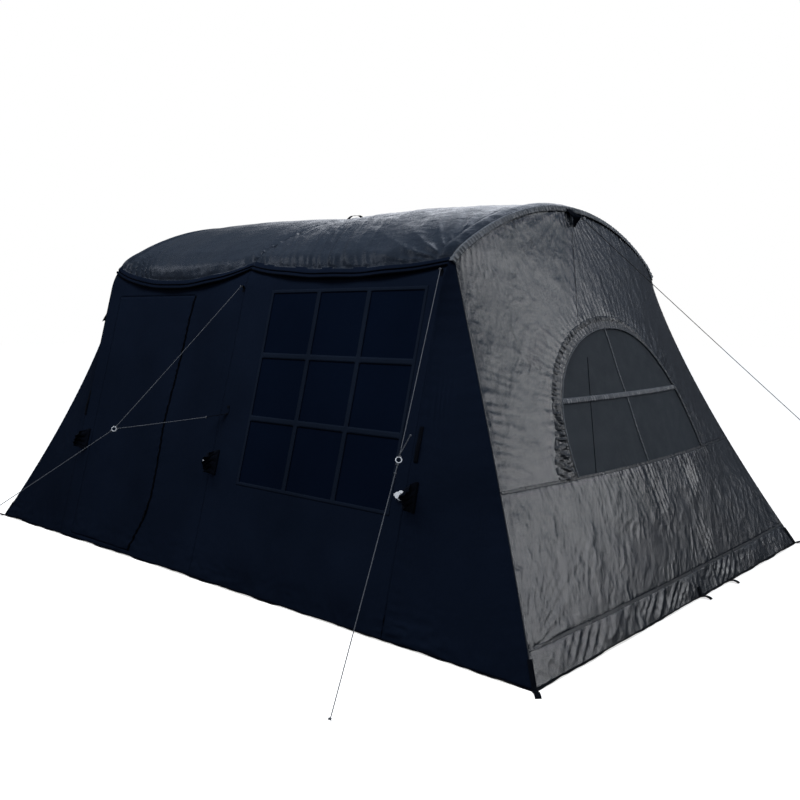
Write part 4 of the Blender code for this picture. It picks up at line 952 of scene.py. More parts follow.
def wall_lift(x, z, side):
    """How a long wall's cloth dips between the beams and wrinkles at its seams and foot."""
    seed = 100 if side > 0 else 0
    beam = np.minimum(np.abs(x), np.abs(np.abs(x) - BEAM_SPACING))
    dip = -FRONT_DIP * smooth(beam / 0.40) * np.sin(math.pi * np.clip(z / 1.74, 0.0, 1.0)) ** 0.7
    patch = patches(0.35, 1.3, x * 3.0, z * 2.4, seed + 31)
    gathers = hill(beam - 0.075, 0.05) * patch * pleats(x + 0.12 * z, 0.026, seed + 32, z, 0.35)
    lift = dip + 0.0028 * gathers
    low = hill(z, 0.16) * smooth(z / 0.02)
    spots = patches(0.25, 1.4, x * 2.1, z * 1.5, seed + 33)
    lift += 0.0110 * low * spots * creases(z, x, 0.055, seed + 34, 4.5, 0.12)
    lift += 0.0040 * low * creases(x, z, 0.09, seed + 35, 1.5, 0.5)
    lift += 0.0030 * hill(z - 0.62, 0.20) * patch * creases(x, z, 0.11, seed + 36, 2.6, 0.75)
    lift += 0.0016 * creases(x, z, 0.30, seed + 37, 2.0, 0.3) * smooth(beam / 0.04)
    if side > 0:
        return lift
    from_zip = np.abs(x - zip_x(np.clip(z, DOOR_SILL, DOOR_TOP)))
    lift += 0.0030 * fade(from_zip, 0.035) * (z < DOOR_TOP + 0.05) * pleats(z, 0.055, 38, x, 0.2)
    # Three folds under the window, and the calmer cloth around it.
    inside = (x > WINDOW_LEFT) & (x < WINDOW_RIGHT) & (z < FRONT_FOLD_TOP)
    rising = np.minimum(np.maximum(z - WALL_FOOT, 0.0) / (FRONT_FOLD_MIDDLE - WALL_FOOT), 1.0)
    falling = np.clip((FRONT_FOLD_TOP - z) / (FRONT_FOLD_TOP - FRONT_FOLD_MIDDLE), 0.0, 1.0)
    rise = np.where(z < FRONT_FOLD_MIDDLE, rising, falling)
    along = (x - WINDOW_LEFT) / (WINDOW_RIGHT - WINDOW_LEFT) + 0.04 * gradient_noise(x * 4.0, z * 5.0, 39)
    fold = np.sin(math.pi * rise / 2) ** 2 * np.abs(np.sin(math.pi * FRONT_FOLDS * along)) ** 1.6
    lift += np.where(inside, FRONT_FOLD_DEPTH * fold, 0.0)
    pane = smooth((z - WINDOW_LOW + 0.05) / 0.05) * smooth((WINDOW_HIGH + 0.05 - z) / 0.05)
    pane *= smooth((x - WINDOW_LEFT + 0.05) / 0.05) * smooth((WINDOW_RIGHT + 0.05 - x) / 0.05)
    return lift + 0.75 * pane * (dip - lift)


def wall_place(x, z, extra):
    """A place on the front wall's outer face with its folds."""
    base, way = skin(x, -run_to(x, z))
    return base + way * (wall_lift(x, z, -1) + extra)[..., None]


def wall_panel(name, nodes, x, z, finish, side=-1, extra=0.0, slot="wall_cloth", **more):
    base, way = skin(x, side * run_to(x, z))
    panel(name, nodes, base, wall_lift(x, z, side) + extra, finish, way=way, slot=slot, **more)


def spans(*marks):
    """Places between marks, each given with the number of steps up to it."""
    places = [np.array([marks[0]])]
    for start, (count, end) in zip([marks[0], *[mark[1] for mark in marks[1:]]], marks[1:]):
        places.append(np.linspace(start, end, count + 1)[1:])
    return np.concatenate(places)


def up_to_eave(x, z, start):
    """Heights whose part above the start is drawn to end just under the roof's edge."""
    top = bend_height(x, EAVE_AT) + 0.002
    return np.where(z > start, start + (z - start) / (LEVELS_TOP - start) * (top - start), z)


def steps_to(places, first, last):
    """How many steps along a row of places two of them are."""
    return int(np.abs(places - first).argmin()), int(np.abs(places - last).argmin())


def all_but(x, rows, columns):
    """The faces of a grid that are kept around an opening."""
    keep = np.ones((x.shape[0] - 1, x.shape[1] - 1), bool)
    keep[rows[0] : rows[1], columns[0] : columns[1]] = False
    return keep


def make_door_bay():
    levels = spans(WALL_FOOT, (3, DOOR_SILL), (12, 0.20), (96, DOOR_TOP), (12, LEVELS_TOP))
    seams = [float(zip_x(np.clip(level, DOOR_SILL, DOOR_TOP))) for level in levels]
    x = np.array([spans(-BEAM_SPACING, (9, DOOR_HINGE_X), (58, seam), (34, 0.0)) for seam in seams])
    rows, columns = steps_to(levels, DOOR_SILL, DOOR_TOP), steps_to(x[0], DOOR_HINGE_X, seams[0])
    z = up_to_eave(x, np.repeat(levels[:, None], x.shape[1], axis=1), DOOR_TOP)
    wall_panel("wall_door_bay", ["front_wall_door_bay"], x, z, FRONT_CLOTH_WITH_PAINTED_SHADE, keep=all_but(x, rows, columns),
               rests_on=["wall_corner_front_left"])
    leaf = (slice(rows[0], rows[1] + 1), slice(columns[0], columns[1] + 1))
    x, z = x[leaf].copy(), z[leaf].copy()
    x[:, 0] += 0.0015
    x[:, -1] -= 0.0012
    z[0] += 0.001
    z[-1] -= 0.001
    wall_panel("door_cloth", ["door_leaf"], x, z, FRONT_CLOTH_WITH_PAINTED_SHADE, body="door", held="hung",
               rests_on=["wall_door_bay"], inside=(0.0, 0.5, 0.9))
    heights = np.linspace(DOOR_SILL + 0.002, DOOR_TOP - 0.002, 150)
    line = zip_x(heights)
    x = line[:, None] + np.linspace(0.001, 0.016, 5)
    z = np.repeat(heights[:, None], 5, axis=1)
    # The zip's tape is near-black: partly its own colour and partly painted shade for the gap under the rain
    # flap.
    mesh_piece("zip_tape", wall_place(x, z, 0.0016), DARK_TAPE_AND_PAINTED_SHADE, thickness=0.0012, nodes=["door_zip"],
               slot="zip")
    size = 0.0019 + 0.0004 * np.sin(np.arange(150) * 2.4)
    tube("zip_teeth", wall_place(line + 0.0045, heights, 0.0036), size, ZIP_PLASTIC, slot="zip")


def pane_lines(low, high, steps):
    """Places along a grid of three panes, and which spans between them are tape."""
    edges = [low - WINDOW_BORDER, low]
    for share in (1 / 3, 2 / 3):
        middle = low + (high - low) * share
        edges += [middle - WINDOW_BAR / 2, middle + WINDOW_BAR / 2]
    edges += [high, high + WINDOW_BORDER]
    marks, taped = [edges[0]], []
    for number, (start, end) in enumerate(zip(edges, edges[1:])):
        is_tape = number % 2 == 0
        parts = 3 if is_tape else steps
        marks += list(np.linspace(start, end, parts + 1)[1:])
        taped += [is_tape] * parts
    return np.array(marks), np.array(taped)


def make_window_bay():
    x = spans(0.0, (22, WINDOW_LEFT), (92, WINDOW_RIGHT), (9, BEAM_SPACING))
    z = spans(WALL_FOOT, (14, 0.12), (26, FRONT_FOLD_TOP), (10, WINDOW_LOW), (70, WINDOW_HIGH),
              (12, LEVELS_TOP))
    rows, columns = steps_to(z, WINDOW_LOW, WINDOW_HIGH), steps_to(x, WINDOW_LEFT, WINDOW_RIGHT)
    x, z = np.meshgrid(x, z)
    wall_panel("wall_window_bay", ["front_wall_window_bay"], x, up_to_eave(x, z, WINDOW_HIGH), FRONT_CLOTH_WITH_PAINTED_SHADE,
               keep=all_but(x, rows, columns), rests_on=["wall_corner_front_right"])
    x = np.linspace(WINDOW_LEFT - WINDOW_OVERLAP, WINDOW_RIGHT + WINDOW_OVERLAP, 80)
    z = np.linspace(WINDOW_LOW - WINDOW_OVERLAP, WINDOW_HIGH + WINDOW_OVERLAP, 74)
    wall_panel("window_film", ["front_window_film"], *np.meshgrid(x, z), FRONT_FILM, extra=-0.0030,
               rests_on=["wall_window_bay"], slot="window_film")
    x, taped_x = pane_lines(WINDOW_LEFT, WINDOW_RIGHT, 24)
    z, taped_z = pane_lines(WINDOW_LOW, WINDOW_HIGH, 22)
    wall_panel("window_bars", ["front_window_bars"], *np.meshgrid(x, z), FRONT_TAPE, extra=0.0022,
               keep=taped_z[:, None] | taped_x, rests_on=["wall_window_bay"], slot="tape",
               tape_width=WINDOW_BAR)


def make_back_wall():
    levels = spans(WALL_FOOT, (14, 0.14), (84, WINDOW_HIGH), (10, LEVELS_TOP))
    x, z = np.meshgrid(np.linspace(-BEAM_SPACING, BEAM_SPACING, 180), levels)
    wall_panel("wall_back", ["back_wall"], x, up_to_eave(x, z, WINDOW_HIGH), FRONT_CLOTH_WITH_PAINTED_SHADE, side=1,
               rests_on=["wall_corner_back_left"])


def corner_place(end, side, share, z):
    """A place on a corner panel: share 0 at the beam seam and 1 at the corner edge."""
    edge_x, edge_y = edge_of(end, z)
    inner_y = half_width(end * BEAM_SPACING, z)
    x = BEAM_SPACING + (edge_x - BEAM_SPACING) * share
    y = inner_y + (edge_y - inner_y) * share
    return np.stack([end * x, side * y, z], axis=-1)


def make_corner_panels():
    for end_name, end in ENDS:
        top = float(bend_height(end * BEAM_SPACING, EDGE_AT)) - 0.004
        for side_name, side in SIDES:
            share, z = np.meshgrid(np.linspace(0.0, 1.0, 66), spans(WALL_FOOT, (16, 0.14), (104, top)))
            base = corner_place(end, side, share, z)
            room = (edge_of(end, z)[0] - BEAM_SPACING) * np.minimum(share, 1.0 - share)
            lift = wall_lift(base[..., 0], z, side) * smooth(room / 0.03)
            tension = fade(room, 0.10) * smooth(room / 0.012)
            lift += 0.0018 * tension * pleats(z + 0.25 * room, 0.065, 41, base[..., 0], 0.5)
            corner = f"{side_name}_{end_name}"
            panel(f"wall_corner_{corner}", [f"corner_panel_{corner}"], base, lift, FRONT_CLOTH_WITH_PAINTED_SHADE,
                  rests_on=[f"end_lower_{end_name}"], slot="wall_cloth")
            levels = np.linspace(WALL_FOOT, top + 0.003, 160)
            size = 0.0032 + 0.0006 * pleats(levels, 0.03, 42)
            tube(f"corner_seam_{corner}", corner_place(end, side, 1.0, levels), size, END_TAPE, slot="tape")


# End walls.


def window_side(y, z):
    """Below 1 inside the end window, above 1 outside."""
    across = (np.abs(y) / END_WINDOW_HALF_WIDTH) ** END_WINDOW_POWER
    up = (np.maximum(z - SILL_HEIGHT, 0.0) / END_WINDOW_RISE) ** END_WINDOW_POWER
    return (across + up) ** (1.0 / END_WINDOW_POWER)


def apex_seam(z):
    """Where the slanting seam between window and ridge is at a height."""
    return -0.49 * (2.03 - z)


def roof_edge_height(end, y):
    """The height of the end wall's upper edge at a distance from the middle."""
    _, roof_z, bend_y, bend_z, high = outline(end * BEAM_SPACING)
    size = np.abs(y)
    roof = roof_z + np.sqrt(np.maximum(ROOF_RADIUS**2 - size**2, 0.0))
    bend = bend_z + np.sqrt(np.maximum(SHOULDER_RADIUS**2 - (size - bend_y) ** 2, 0.0))
    return np.where(size <= bend_y + SHOULDER_RADIUS * np.cos(high), roof, bend)


def end_lift(end, y, z):
    """How far the end wall's cloth stands out: folds from its seams, pleats and creases."""
    seed = 200 if end > 0 else 300
    half = end_half(end, z)
    share = y / np.maximum(half, 0.01)
    side_room = np.maximum(half - np.abs(y), 0.0)
    top_room = np.maximum(roof_edge_height(end, y) - z, 0.0)
    lift = 0.0026 * fade(top_room, 0.07) * pleats(y + 0.15 * top_room, 0.034, seed + 1, z, 0.3)
    drop = np.maximum(outline(end * BEAM_SPACING)[0] + 0.02 - z, 0.01)
    lift += 0.0042 * fade(np.hypot(y, drop), 0.22) * pleats(np.arctan2(y, drop), 0.15, seed + 2, drop)
    dents = hill(z - 1.0, 0.28) + 0.35
    lift += 0.0020 * dents * fade(side_room, 0.12) * pleats(z + 0.25 * side_room, 0.045, seed + 3, y, 0.35)
    # Folds around the window, above it and below its sill.
    sill = z - SILL_HEIGHT
    around = (window_side(y, z) - 1.0) * 0.72
    ring = smooth(sill / 0.02) * fade(np.abs(around - 0.07), 0.06)
    lift += 0.0022 * ring * pleats(np.arctan2(sill - 0.2, y), 0.055, seed + 4, z, 0.6)
    patch = patches(0.5, 1.5, y * 3.0, z * 3.0, seed + 18, 0.0, 1.3) * fade(np.abs(y - 0.1), 0.4)
    over = np.abs(sill - END_WINDOW_RISE - 0.12)
    lift += 0.0030 * patch * fade(over, 0.09) * pleats(y, 0.030, seed + 19, z, 0.3)
    spread = patches(0.35, 1.6, y * 2.6, z * 0.4, seed + 5, 0.1, 1.5)
    below = fade(np.abs(sill), np.where(sill < 0, 0.13, 0.04))
    lift += 0.0020 * below * spread * pleats(y + 0.22 * sill, 0.034, seed + 6, z, 0.5)
    strong = hill(y - 0.42, 0.09) * hill(sill + 0.13, 0.10)
    strong = strong + hill(y - 0.33, 0.07) * hill(z - 0.26, 0.10)
    strong = strong + 0.8 * hill(y + 0.02, 0.07) * hill(sill + 0.14, 0.14)
    lift += 0.0055 * strong * pleats(y + 0.05 * z, 0.040, seed + 20, z, 0.6)
    lift -= 0.0030 * hill(sill, 0.006)
    # The lower panel's leaning folds.
    above = np.clip((z - SKIRT_HEIGHT) / (SILL_HEIGHT - SKIRT_HEIGHT), 0.0, 1.0)
    bend = 0.07 * gradient_noise(y * 3.0, z * 3.0, seed + 7)
    wave = math.pi * END_FOLDS * (share + END_FOLD_LEAN * above + bend)
    lift += END_FOLD_DEPTH * (1.0 - share**4) * np.sin(math.pi * above) * np.cos(wave)
    streak = np.sin(math.pi * above) * patches(0.1, 1.6, y * 2.1, z * 1.4, seed + 8)
    lift += 0.0010 * streak * pleats(y + 0.10 * z, 0.033, seed + 9, z, 0.35)
    # The loose hem, and the folds that fan out over it from the corners.
    in_hem = np.sin(math.pi * np.clip((SKIRT_HEIGHT - z) / SKIRT_HEIGHT, 0.0, 1.0)) * (z < SKIRT_HEIGHT)
    grouped = patches(0.25, 1.7, y * 1.5, 0.3, seed + 15, 0.05, 1.1)
    lift += in_hem * grouped * 0.0090 * pleats(y - 1.6 * z, 0.080, seed + 10, z, 0.5)
    lift += 0.0030 * in_hem * creases(y, z, 0.06, seed + 16, 1.5, 0.6)
    lift += 0.0030 * in_hem * np.cos(math.pi * END_FOLDS * share)
    lift -= 0.0040 * hill(z - SKIRT_HEIGHT, 0.005)
    over_hem = np.maximum(z - SKIRT_HEIGHT, 0.0)
    corner = fade(np.hypot(side_room, over_hem), 0.22) * (z > SKIRT_HEIGHT)
    fan = np.arctan2(side_room + 0.01, over_hem + 0.01)
    lift += 0.0045 * corner * pleats(fan, 0.16, seed + 21, z, 0.5)
    # Creases all over, and the slanting seam.
    lift += 0.0012 * creases(y, z, 0.26, seed + 11, 2.2, 0.5)
    lift += 0.0008 * creases(y, z, 0.10, seed + 12, 1.8, -0.5)
    lift += 0.0005 * creases(y, z, 0.050, seed + 13, 1.7, 1.0)
    lift += 0.0050 * gradient_noise(y * 1.6, z * 1.5, seed + 14)
    lift -= 0.0025 * hill(y - apex_seam(z), 0.005) * smooth((z - 1.47) / 0.02)
    return lift * smooth(np.minimum(side_room, top_room) / 0.020)


def end_place(end, y, z, extra=0.0, folds=1.0):
    """A place on an end wall's outer face with its folds."""
    y, z = np.broadcast_arrays(np.asarray(y, float), np.asarray(z, float))
    x = end_x(end, y, z) + end * (folds * end_lift(end, y, z) + extra)
    return np.stack([x, y, z], axis=-1)


def end_panel(name, nodes, end, y, z, finish, extra=0.0, folds=1.0, slot="end_cloth", **more):
    base = np.stack([end_x(end, y, z), y, z], axis=-1)
    way = np.zeros_like(base)
    way[..., 0] = end
    panel(name, nodes, base, folds * end_lift(end, y, z) + extra, finish, way=way, slot=slot, **more)


def end_tape(name, end, y, z, lift, finish, thickness=0.001, folds=1.0, nodes=()):
    """A tape, a seam or a strip of painted shadow on an end wall."""
    mesh_piece(name, end_place(end, y, z, lift, folds), finish, thickness=thickness, nodes=nodes, slot="tape")


def snap_to_window(y, z, keep, scale):
    """Moves the points along the edge of the kept faces onto the window's outline."""
    edge = touched(keep) & touched(~keep) & (z > SILL_HEIGHT + 0.004)
    factor = np.where(edge, scale / np.maximum(window_side(y, z), 0.01), 1.0)
    return y * factor, SILL_HEIGHT + (z - SILL_HEIGHT) * factor


def make_end_wall(end, name):
    count = 300 if end > 0 else 220
    near = np.array([0.004, 0.009]) / 1.6
    u = np.unique(np.concatenate([np.linspace(-1.0, 1.0, count), -1 + near, 1 - near]))
    place = end * BEAM_SPACING
    top_y, top_z, _, _ = section(place, u * float(bend_run(place, EDGE_AT)))
    even = np.linspace(0.0, 1.0, int(count * 0.44))
    rise = np.unique(np.concatenate([even, [0.004, 0.008, 0.013, 0.988, 0.995]]))[:, None]
    low_half = edge_of(end, SILL_HEIGHT)[1]
    side_half = edge_of(end, SILL_HEIGHT + (top_z[-1] - SILL_HEIGHT) * rise)[1]
    straight = low_half * (1 - rise) + top_y[-1] * rise
    y = u * low_half * (1 - rise) + top_y * rise + (side_half - straight) * u
    z = SILL_HEIGHT * (1 - rise) + (top_z - GAP) * rise
    inside = window_side(*[(grid[:-1, :-1] + grid[1:, 1:]) / 2 for grid in (y, z)])
    keep = inside > 1.0
    wall = snap_to_window(y, z, keep, 1.0)
    end_panel(f"end_upper_{name}", [f"end_wall_upper_{name}"], end, *wall, END_CLOTH, keep=keep,
              rests_on=[f"binding_{name}"])
    keep = inside < FILM_REACH
    y, z = snap_to_window(y, z, keep, FILM_REACH)
    end_panel(f"end_film_{name}", [f"end_window_film_{name}"], end, y, z, END_FILM, extra=-0.004,
              folds=FILM_FOLDS, keep=keep, slot="window_film", rests_on=[f"end_upper_{name}"])
    levels = spans(WALL_FOOT, (16, SKIRT_HEIGHT - 0.008), (5, SKIRT_HEIGHT + 0.008), (50, SILL_HEIGHT - 0.01),
                   (4, SILL_HEIGHT))
    u, z = np.meshgrid(u, levels)
    end_panel(f"end_lower_{name}", [f"end_wall_lower_{name}"], end, u * edge_of(end, z)[1], z, END_CLOTH,
              rests_on=["ground"])
    make_end_frame(end, name)
    for level, label in ((SILL_HEIGHT, "sill"), (SKIRT_HEIGHT, "hem")):
        half = float(edge_of(end, level)[1]) - 0.004
        y, z = np.meshgrid(np.linspace(-half, half, 300), np.linspace(-0.006, 0.006, 4) + level)
        end_tape(f"seam_{label}_{name}", end, y, z, 0.0012, END_TAPE)
    low, high = SILL_HEIGHT + END_WINDOW_RISE + 0.06, float(outline(place)[0]) - 0.03
    z, across = np.meshgrid(np.linspace(low, high, 90), np.linspace(-0.002, 0.002, 4))
    end_tape(f"seam_apex_{name}", end, across + np.minimum(apex_seam(z), 0.0), z, 0.0016, END_TAPE)


def window_line(count):
    """Points of the window's outline from the right sill over the top to the left sill, evenly spaced."""
    angle = np.linspace(0.0, math.pi, 1200)
    power = 2 / END_WINDOW_POWER
    y = END_WINDOW_HALF_WIDTH * np.sign(np.cos(angle)) * np.abs(np.cos(angle)) ** power
    z = SILL_HEIGHT + END_WINDOW_RISE * np.abs(np.sin(angle)) ** power
    run = np.concatenate([[0.0], np.cumsum(np.hypot(np.diff(y), np.diff(z)))])
    places = np.linspace(0.0, run[-1], count)
    return np.interp(places, run, y), np.interp(places, run, z), places


def make_end_frame(end, name):
    """The frame of an end window with its gathered outer edge, and the gathered tapes that cross it."""
    y, z, run = window_line(900)
    edge = end_place(end, y, np.maximum(z, SILL_HEIGHT + 0.003), 0.0036)
    way = np.stack([np.gradient(z), -np.gradient(y)])
    way_y, way_z = (way / np.hypot(*way))[..., None]
    y, z, run = y[:, None], z[:, None], run[:, None]
    broad = smooth((0.50 - y) / 0.35)
    wide = 0.032 + 0.038 * broad + 0.085 * smooth((-y - 0.62) / 0.12) * smooth((0.95 - z) / 0.22)
    tumbled = smooth((-y - 0.60) / 0.10) * smooth((1.12 - z) / 0.20)
    across = np.linspace(0.0, 1.0, 12)
    slant = (0.5 + 0.9 * gradient_noise(run / 0.11, 0.0, 406)) * across * wide
    ripple = 0.0030 * pleats(run + slant, 0.030, 401, slant, 0.03)
    ripple = ripple + 0.0022 * pleats(run - slant * 0.6 + 0.012, 0.016, 402, slant, 0.03)
    start = 0.55 * broad * (1.0 - tumbled)
    arch = np.sin(math.pi * np.clip((across - start) / (1.0 - start), 0.0, 1.0)) ** 0.7
    lift = 0.0032 * (1.0 - across) - 0.0006
    lift = lift + arch * (0.0045 + 0.0060 * tumbled + ripple * (1.0 + 0.3 * tumbled))
    lift += 0.0060 * tumbled * arch * pleats(across * 0.07 + run * 0.8, 0.05, 405, run, 0.2)
    frame_z = np.maximum(z + way_z * wide * across, SILL_HEIGHT + 0.002)
    end_tape(f"window_frame_{name}", end, y + way_y * wide * across, frame_z, lift, END_TAPE, 0.0012,
             nodes=[f"end_window_tapes_{name}"])
    tube(f"window_edge_{name}", edge, 0.0030, RUCHED_TAPE, slot="tape")
    level = (END_WINDOW_BAR_HEIGHT - SILL_HEIGHT) / END_WINDOW_RISE
    half = END_WINDOW_HALF_WIDTH * (1 - level**END_WINDOW_POWER) ** (1 / END_WINDOW_POWER)
    across = np.linspace(-0.5, 0.5, 7)
    y = np.linspace(-half, half, 800)[:, None]
    ripple = pleats(y, 0.017, 403)
    lift = 0.0020 + (0.0030 + 0.0030 * ripple) * (1 - (2 * across) ** 4)
    z = END_WINDOW_BAR_HEIGHT + across * (0.029 + 0.002 * ripple)
    end_tape(f"window_bar_{name}", end, y, z, lift, RUCHED_TAPE, folds=FILM_FOLDS)
    z = np.linspace(SILL_HEIGHT + 0.004, SILL_HEIGHT + END_WINDOW_RISE, 500)[:, None]
    ripple = pleats(z, 0.024, 404)
    lift = 0.0008 + (0.0020 + 0.0022 * ripple) * (1 - (2 * across) ** 2)
    y = 0.0025 * np.sin(z / 0.05) - 0.04 + across * (0.011 + 0.004 * ripple)
    end_tape(f"window_post_{name}", end, y, z, lift, RUCHED_TAPE, folds=FILM_FOLDS)
    # A dark strip slanting down across the window film: a painted shadow of the end guy rope.
    y = np.linspace(-0.560, -0.300, 60)[:, None] + np.linspace(-0.0022, 0.0022, 3)
    z = np.linspace(0.706, 1.260, 60)[:, None]
    end_tape(f"film_painted_shadow_{name}", end, y, z, -0.0025, DARK_TAPE_AND_PAINTED_SHADE, 0.0006, FILM_FOLDS)


# Ground, beams, flaps and webbing.


def peg_loops():
    """Where each peg loop leaves the groundsheet's edge, its way out, and its name."""
    for end_name, end in ENDS:
        for number, y in enumerate((0.04, 0.42)):
            yield np.array((end * GROUND_END, y, 0.0)), np.array((end, 0.0, 0.0)), f"{end_name}_{number}"
        for side_name, side in SIDES:
            foot = np.array((end * GROUND_END, side * GROUND_SIDE, 0.0))
            yield foot, np.array((end, side, 0.0)) * math.sqrt(0.5), f"{end_name}_{side_name}"


def make_ground():
    """The floor sheet with its uneven hem, its webbing loops and the tabs that rise to the hem seam."""
    x, y = np.meshgrid(np.linspace(-GROUND_END, GROUND_END, 320), np.linspace(-GROUND_SIDE, GROUND_SIDE, 220))
    end_room, side_room = GROUND_END - np.abs(x), GROUND_SIDE - np.abs(y)
    edge = fade(np.minimum(end_room, side_room), 0.020)
    wave = gradient_noise(x * 5.0, y * 5.0, 501) + 0.4 * gradient_noise(x * 15.0, y * 15.0, 502)
    inward = 0.006 * edge * (1.0 + gradient_noise(x * 4.0, y * 4.0, 503))
    x = x - np.sign(x) * inward * (end_room < 0.1)
    y = y - np.sign(y) * inward * (side_room < 0.1)
    base = np.stack([x, y, np.full_like(x, GROUND_THICKNESS)], axis=-1)
    way = np.zeros_like(base)
    way[..., 2] = 1.0
    panel("ground", ["groundsheet"], base, edge * np.clip(0.0090 * wave + 0.0045, 0.0, 0.0095), GROUND_CLOTH,
          held="laid", slot="ground_cloth", thickness=0.0028, way=way, inside=(0.0, 0.0, -1.0))
    over = GROUND_THICKNESS + WEBBING_THICK / 2
    steps = ((-0.012, over + 0.0005), (0.0, over + 0.004), (0.016, 0.012), (0.034, 0.009), (0.046, 0.0018))
    for foot, out, name in peg_loops():
        path = [foot + out * step + (0.0, 0.0, height) for step, height in steps]
        strap(f"peg_loop_{name}", path, (-out[1], out[0], 0.0), 0.026, thickness=0.0030, count=30)
    for name, end in ENDS:
        for side_name, side in SIDES:
            out = np.array((end, side, 0.0)) * math.sqrt(0.5)
            levels = np.array((0.105, 0.070, 0.035, 0.008))
            path = [*(corner_place(end, side, 1.0, levels) + out * 0.0045)]
            path.append(path[-1] + out * 0.018 + (0.0, 0.0, -0.004))
            strap(f"corner_tab_{side_name}_{name}", path, (-out[1], out[0], 0.0), 0.022, count=30)
        path = [end_place(end, 0.04, level, 0.0045) for level in (0.055, 0.035, 0.018, 0.007)]
        strap(f"hem_tab_{name}", path, (0.0, 1.0, 0.0), 0.024)


def beam_path(x):
    """The middle line of a beam from foot to foot, just inside the shell."""
    inset = CLOTH + GAP + BEAM_RADIUS
    _, roof_z, bend_y, bend_z, high = (float(value) for value in outline(x))

    def arc(middle, radius, start, end, count, endpoint):
        angle = np.linspace(start, end, count, endpoint=endpoint)
        return np.stack([middle[0] + radius * np.cos(angle), middle[1] + radius * np.sin(angle)], axis=1)

    shoulder = arc((bend_y, bend_z), SHOULDER_RADIUS - inset, LOW_ANGLE, high, 14, False)
    roof = arc((0.0, roof_z), ROOF_RADIUS - inset, high, math.pi / 2, 30, True)
    foot_z = WALL_FOOT + BEAM_RADIUS * WALL_LEAN / SLOPE
    foot = (HALF_WIDTH - inset * SLOPE - WALL_LEAN * foot_z, foot_z)
    half = np.concatenate([np.linspace(foot, shoulder[0], 40, endpoint=False), shoulder, roof])
    half = np.stack([np.full(len(half), x), -half[:, 0], half[:, 1]], axis=1)
    return np.concatenate([half, half[-2::-1] * (1.0, -1.0, 1.0)])


def make_beams():
    for side, x in BEAM_PLACES.items():
        path = beam_path(x)
        sleeve = tube(f"sleeve_{side}", path, BEAM_RADIUS - 0.0005, SLEEVE_CLOTH, 28,
                      nodes=[f"beam_sleeve_{side}"], slot="sleeve_cloth")
        bladder = tube(f"bladder_{side}", path, BEAM_RADIUS - 0.0035, BLADDER_FILM, 24,
                       nodes=[f"air_bladder_{side}"], slot="bladder_film")


def front_point(x, z):
    """A place on the front's outer face, corner panels included."""
    if abs(x) <= BEAM_SPACING:
        return np.array((x, -float(half_width(x, z)), z))
    end = math.copysign(1.0, x)
    edge_x, edge_y = (float(value) for value in edge_of(end, z))
    inner = float(half_width(end * BEAM_SPACING, z))
    return np.array((x, -(inner + (edge_y - inner) * (abs(x) - BEAM_SPACING) / (edge_x - BEAM_SPACING)), z))


def seat(x, z):
    """A place on the front's outer face with its ways along, up and out."""
    along = front_point(x + 0.001, z) - front_point(x - 0.001, z)
    along /= np.linalg.norm(along)
    out = np.cross(along, front_point(x, z + 0.005) - front_point(x, z - 0.005))
    out /= np.linalg.norm(out)
    return front_point(x, z), along, np.cross(out, along), out


def over_seat(x, z, lift=0.0):
    """A place for a strap just over the front's cloth."""
    here, _, _, out = seat(x, z)
    return here + out * (GAP + WEBBING_THICK / 2 + lift)


def make_flaps():
    """The cloth flaps over the valves, stitched at one edge, open and curled back."""
    rows, columns = 44, 40
    for number, (side, beam) in enumerate(BEAM_PLACES.items()):
        x = beam + (VALVE_SHIFT if side == "right" else -VALVE_SHIFT)
        here, along, up, out = seat(x + FLAP_ROOT, VALVE_HEIGHT)
        here = here + out * (GAP + CLOTH / 2)
        length, height = np.meshgrid(np.linspace(0.0, 1.0, columns), np.linspace(-0.5, 0.5, rows))
        shape = np.interp(height, (-0.5, -0.1, 0.3, 0.5), (0.80, 1.0, 0.92, 0.70)) * FLAP_LENGTH
        curl = 95 + 30 * gradient_noise(height * 2.3, 0.5, 611 + number)
        turn = np.radians(42 + curl * smooth((length - 0.15) / 0.85) ** 1.2)
        step = np.diff(length, axis=1, prepend=0.0)
        run = np.cumsum(step * np.cos(turn), axis=1) * shape
        rise = np.cumsum(step * np.sin(turn), axis=1) * shape
        droop = -0.022 * smooth(length) * (0.6 + 0.8 * height)
        place = height * FLAP_HEIGHT * (1.0 - 0.22 * length) + droop
        base = here - along * run[..., None] + up * place[..., None] + out * rise[..., None]
        lift = smooth(length * 2.5) * (
            0.0060 * np.cos(8.0 * height + 3.0 * length + number * 1.7)
            + 0.0050 * pleats(height + 0.25 * length, 0.26, 601 + number, length, 0.5)
            + 0.0025 * creases(height, length, 0.3, 621 + number)
        )
        panel(f"flap_{side}", [f"valve_flap_{side}"], base, lift, FLAP_CLOTH_AND_PAINTED_SHADE, body=f"valve_cover_{side}",
              held="hung", slot="webbing", inside=tuple(here + out * 0.2 + along * 0.1), thickness=0.0022)
        line = base[:, 0] + out * 0.0022
        path = [line[0], line[rows // 3], line[2 * rows // 3], line[-1]]
        strap(f"flap_seam_{side}", path, along, 0.016, DARK_TAPE_AND_PAINTED_SHADE, thickness=0.0012, slot="tape")


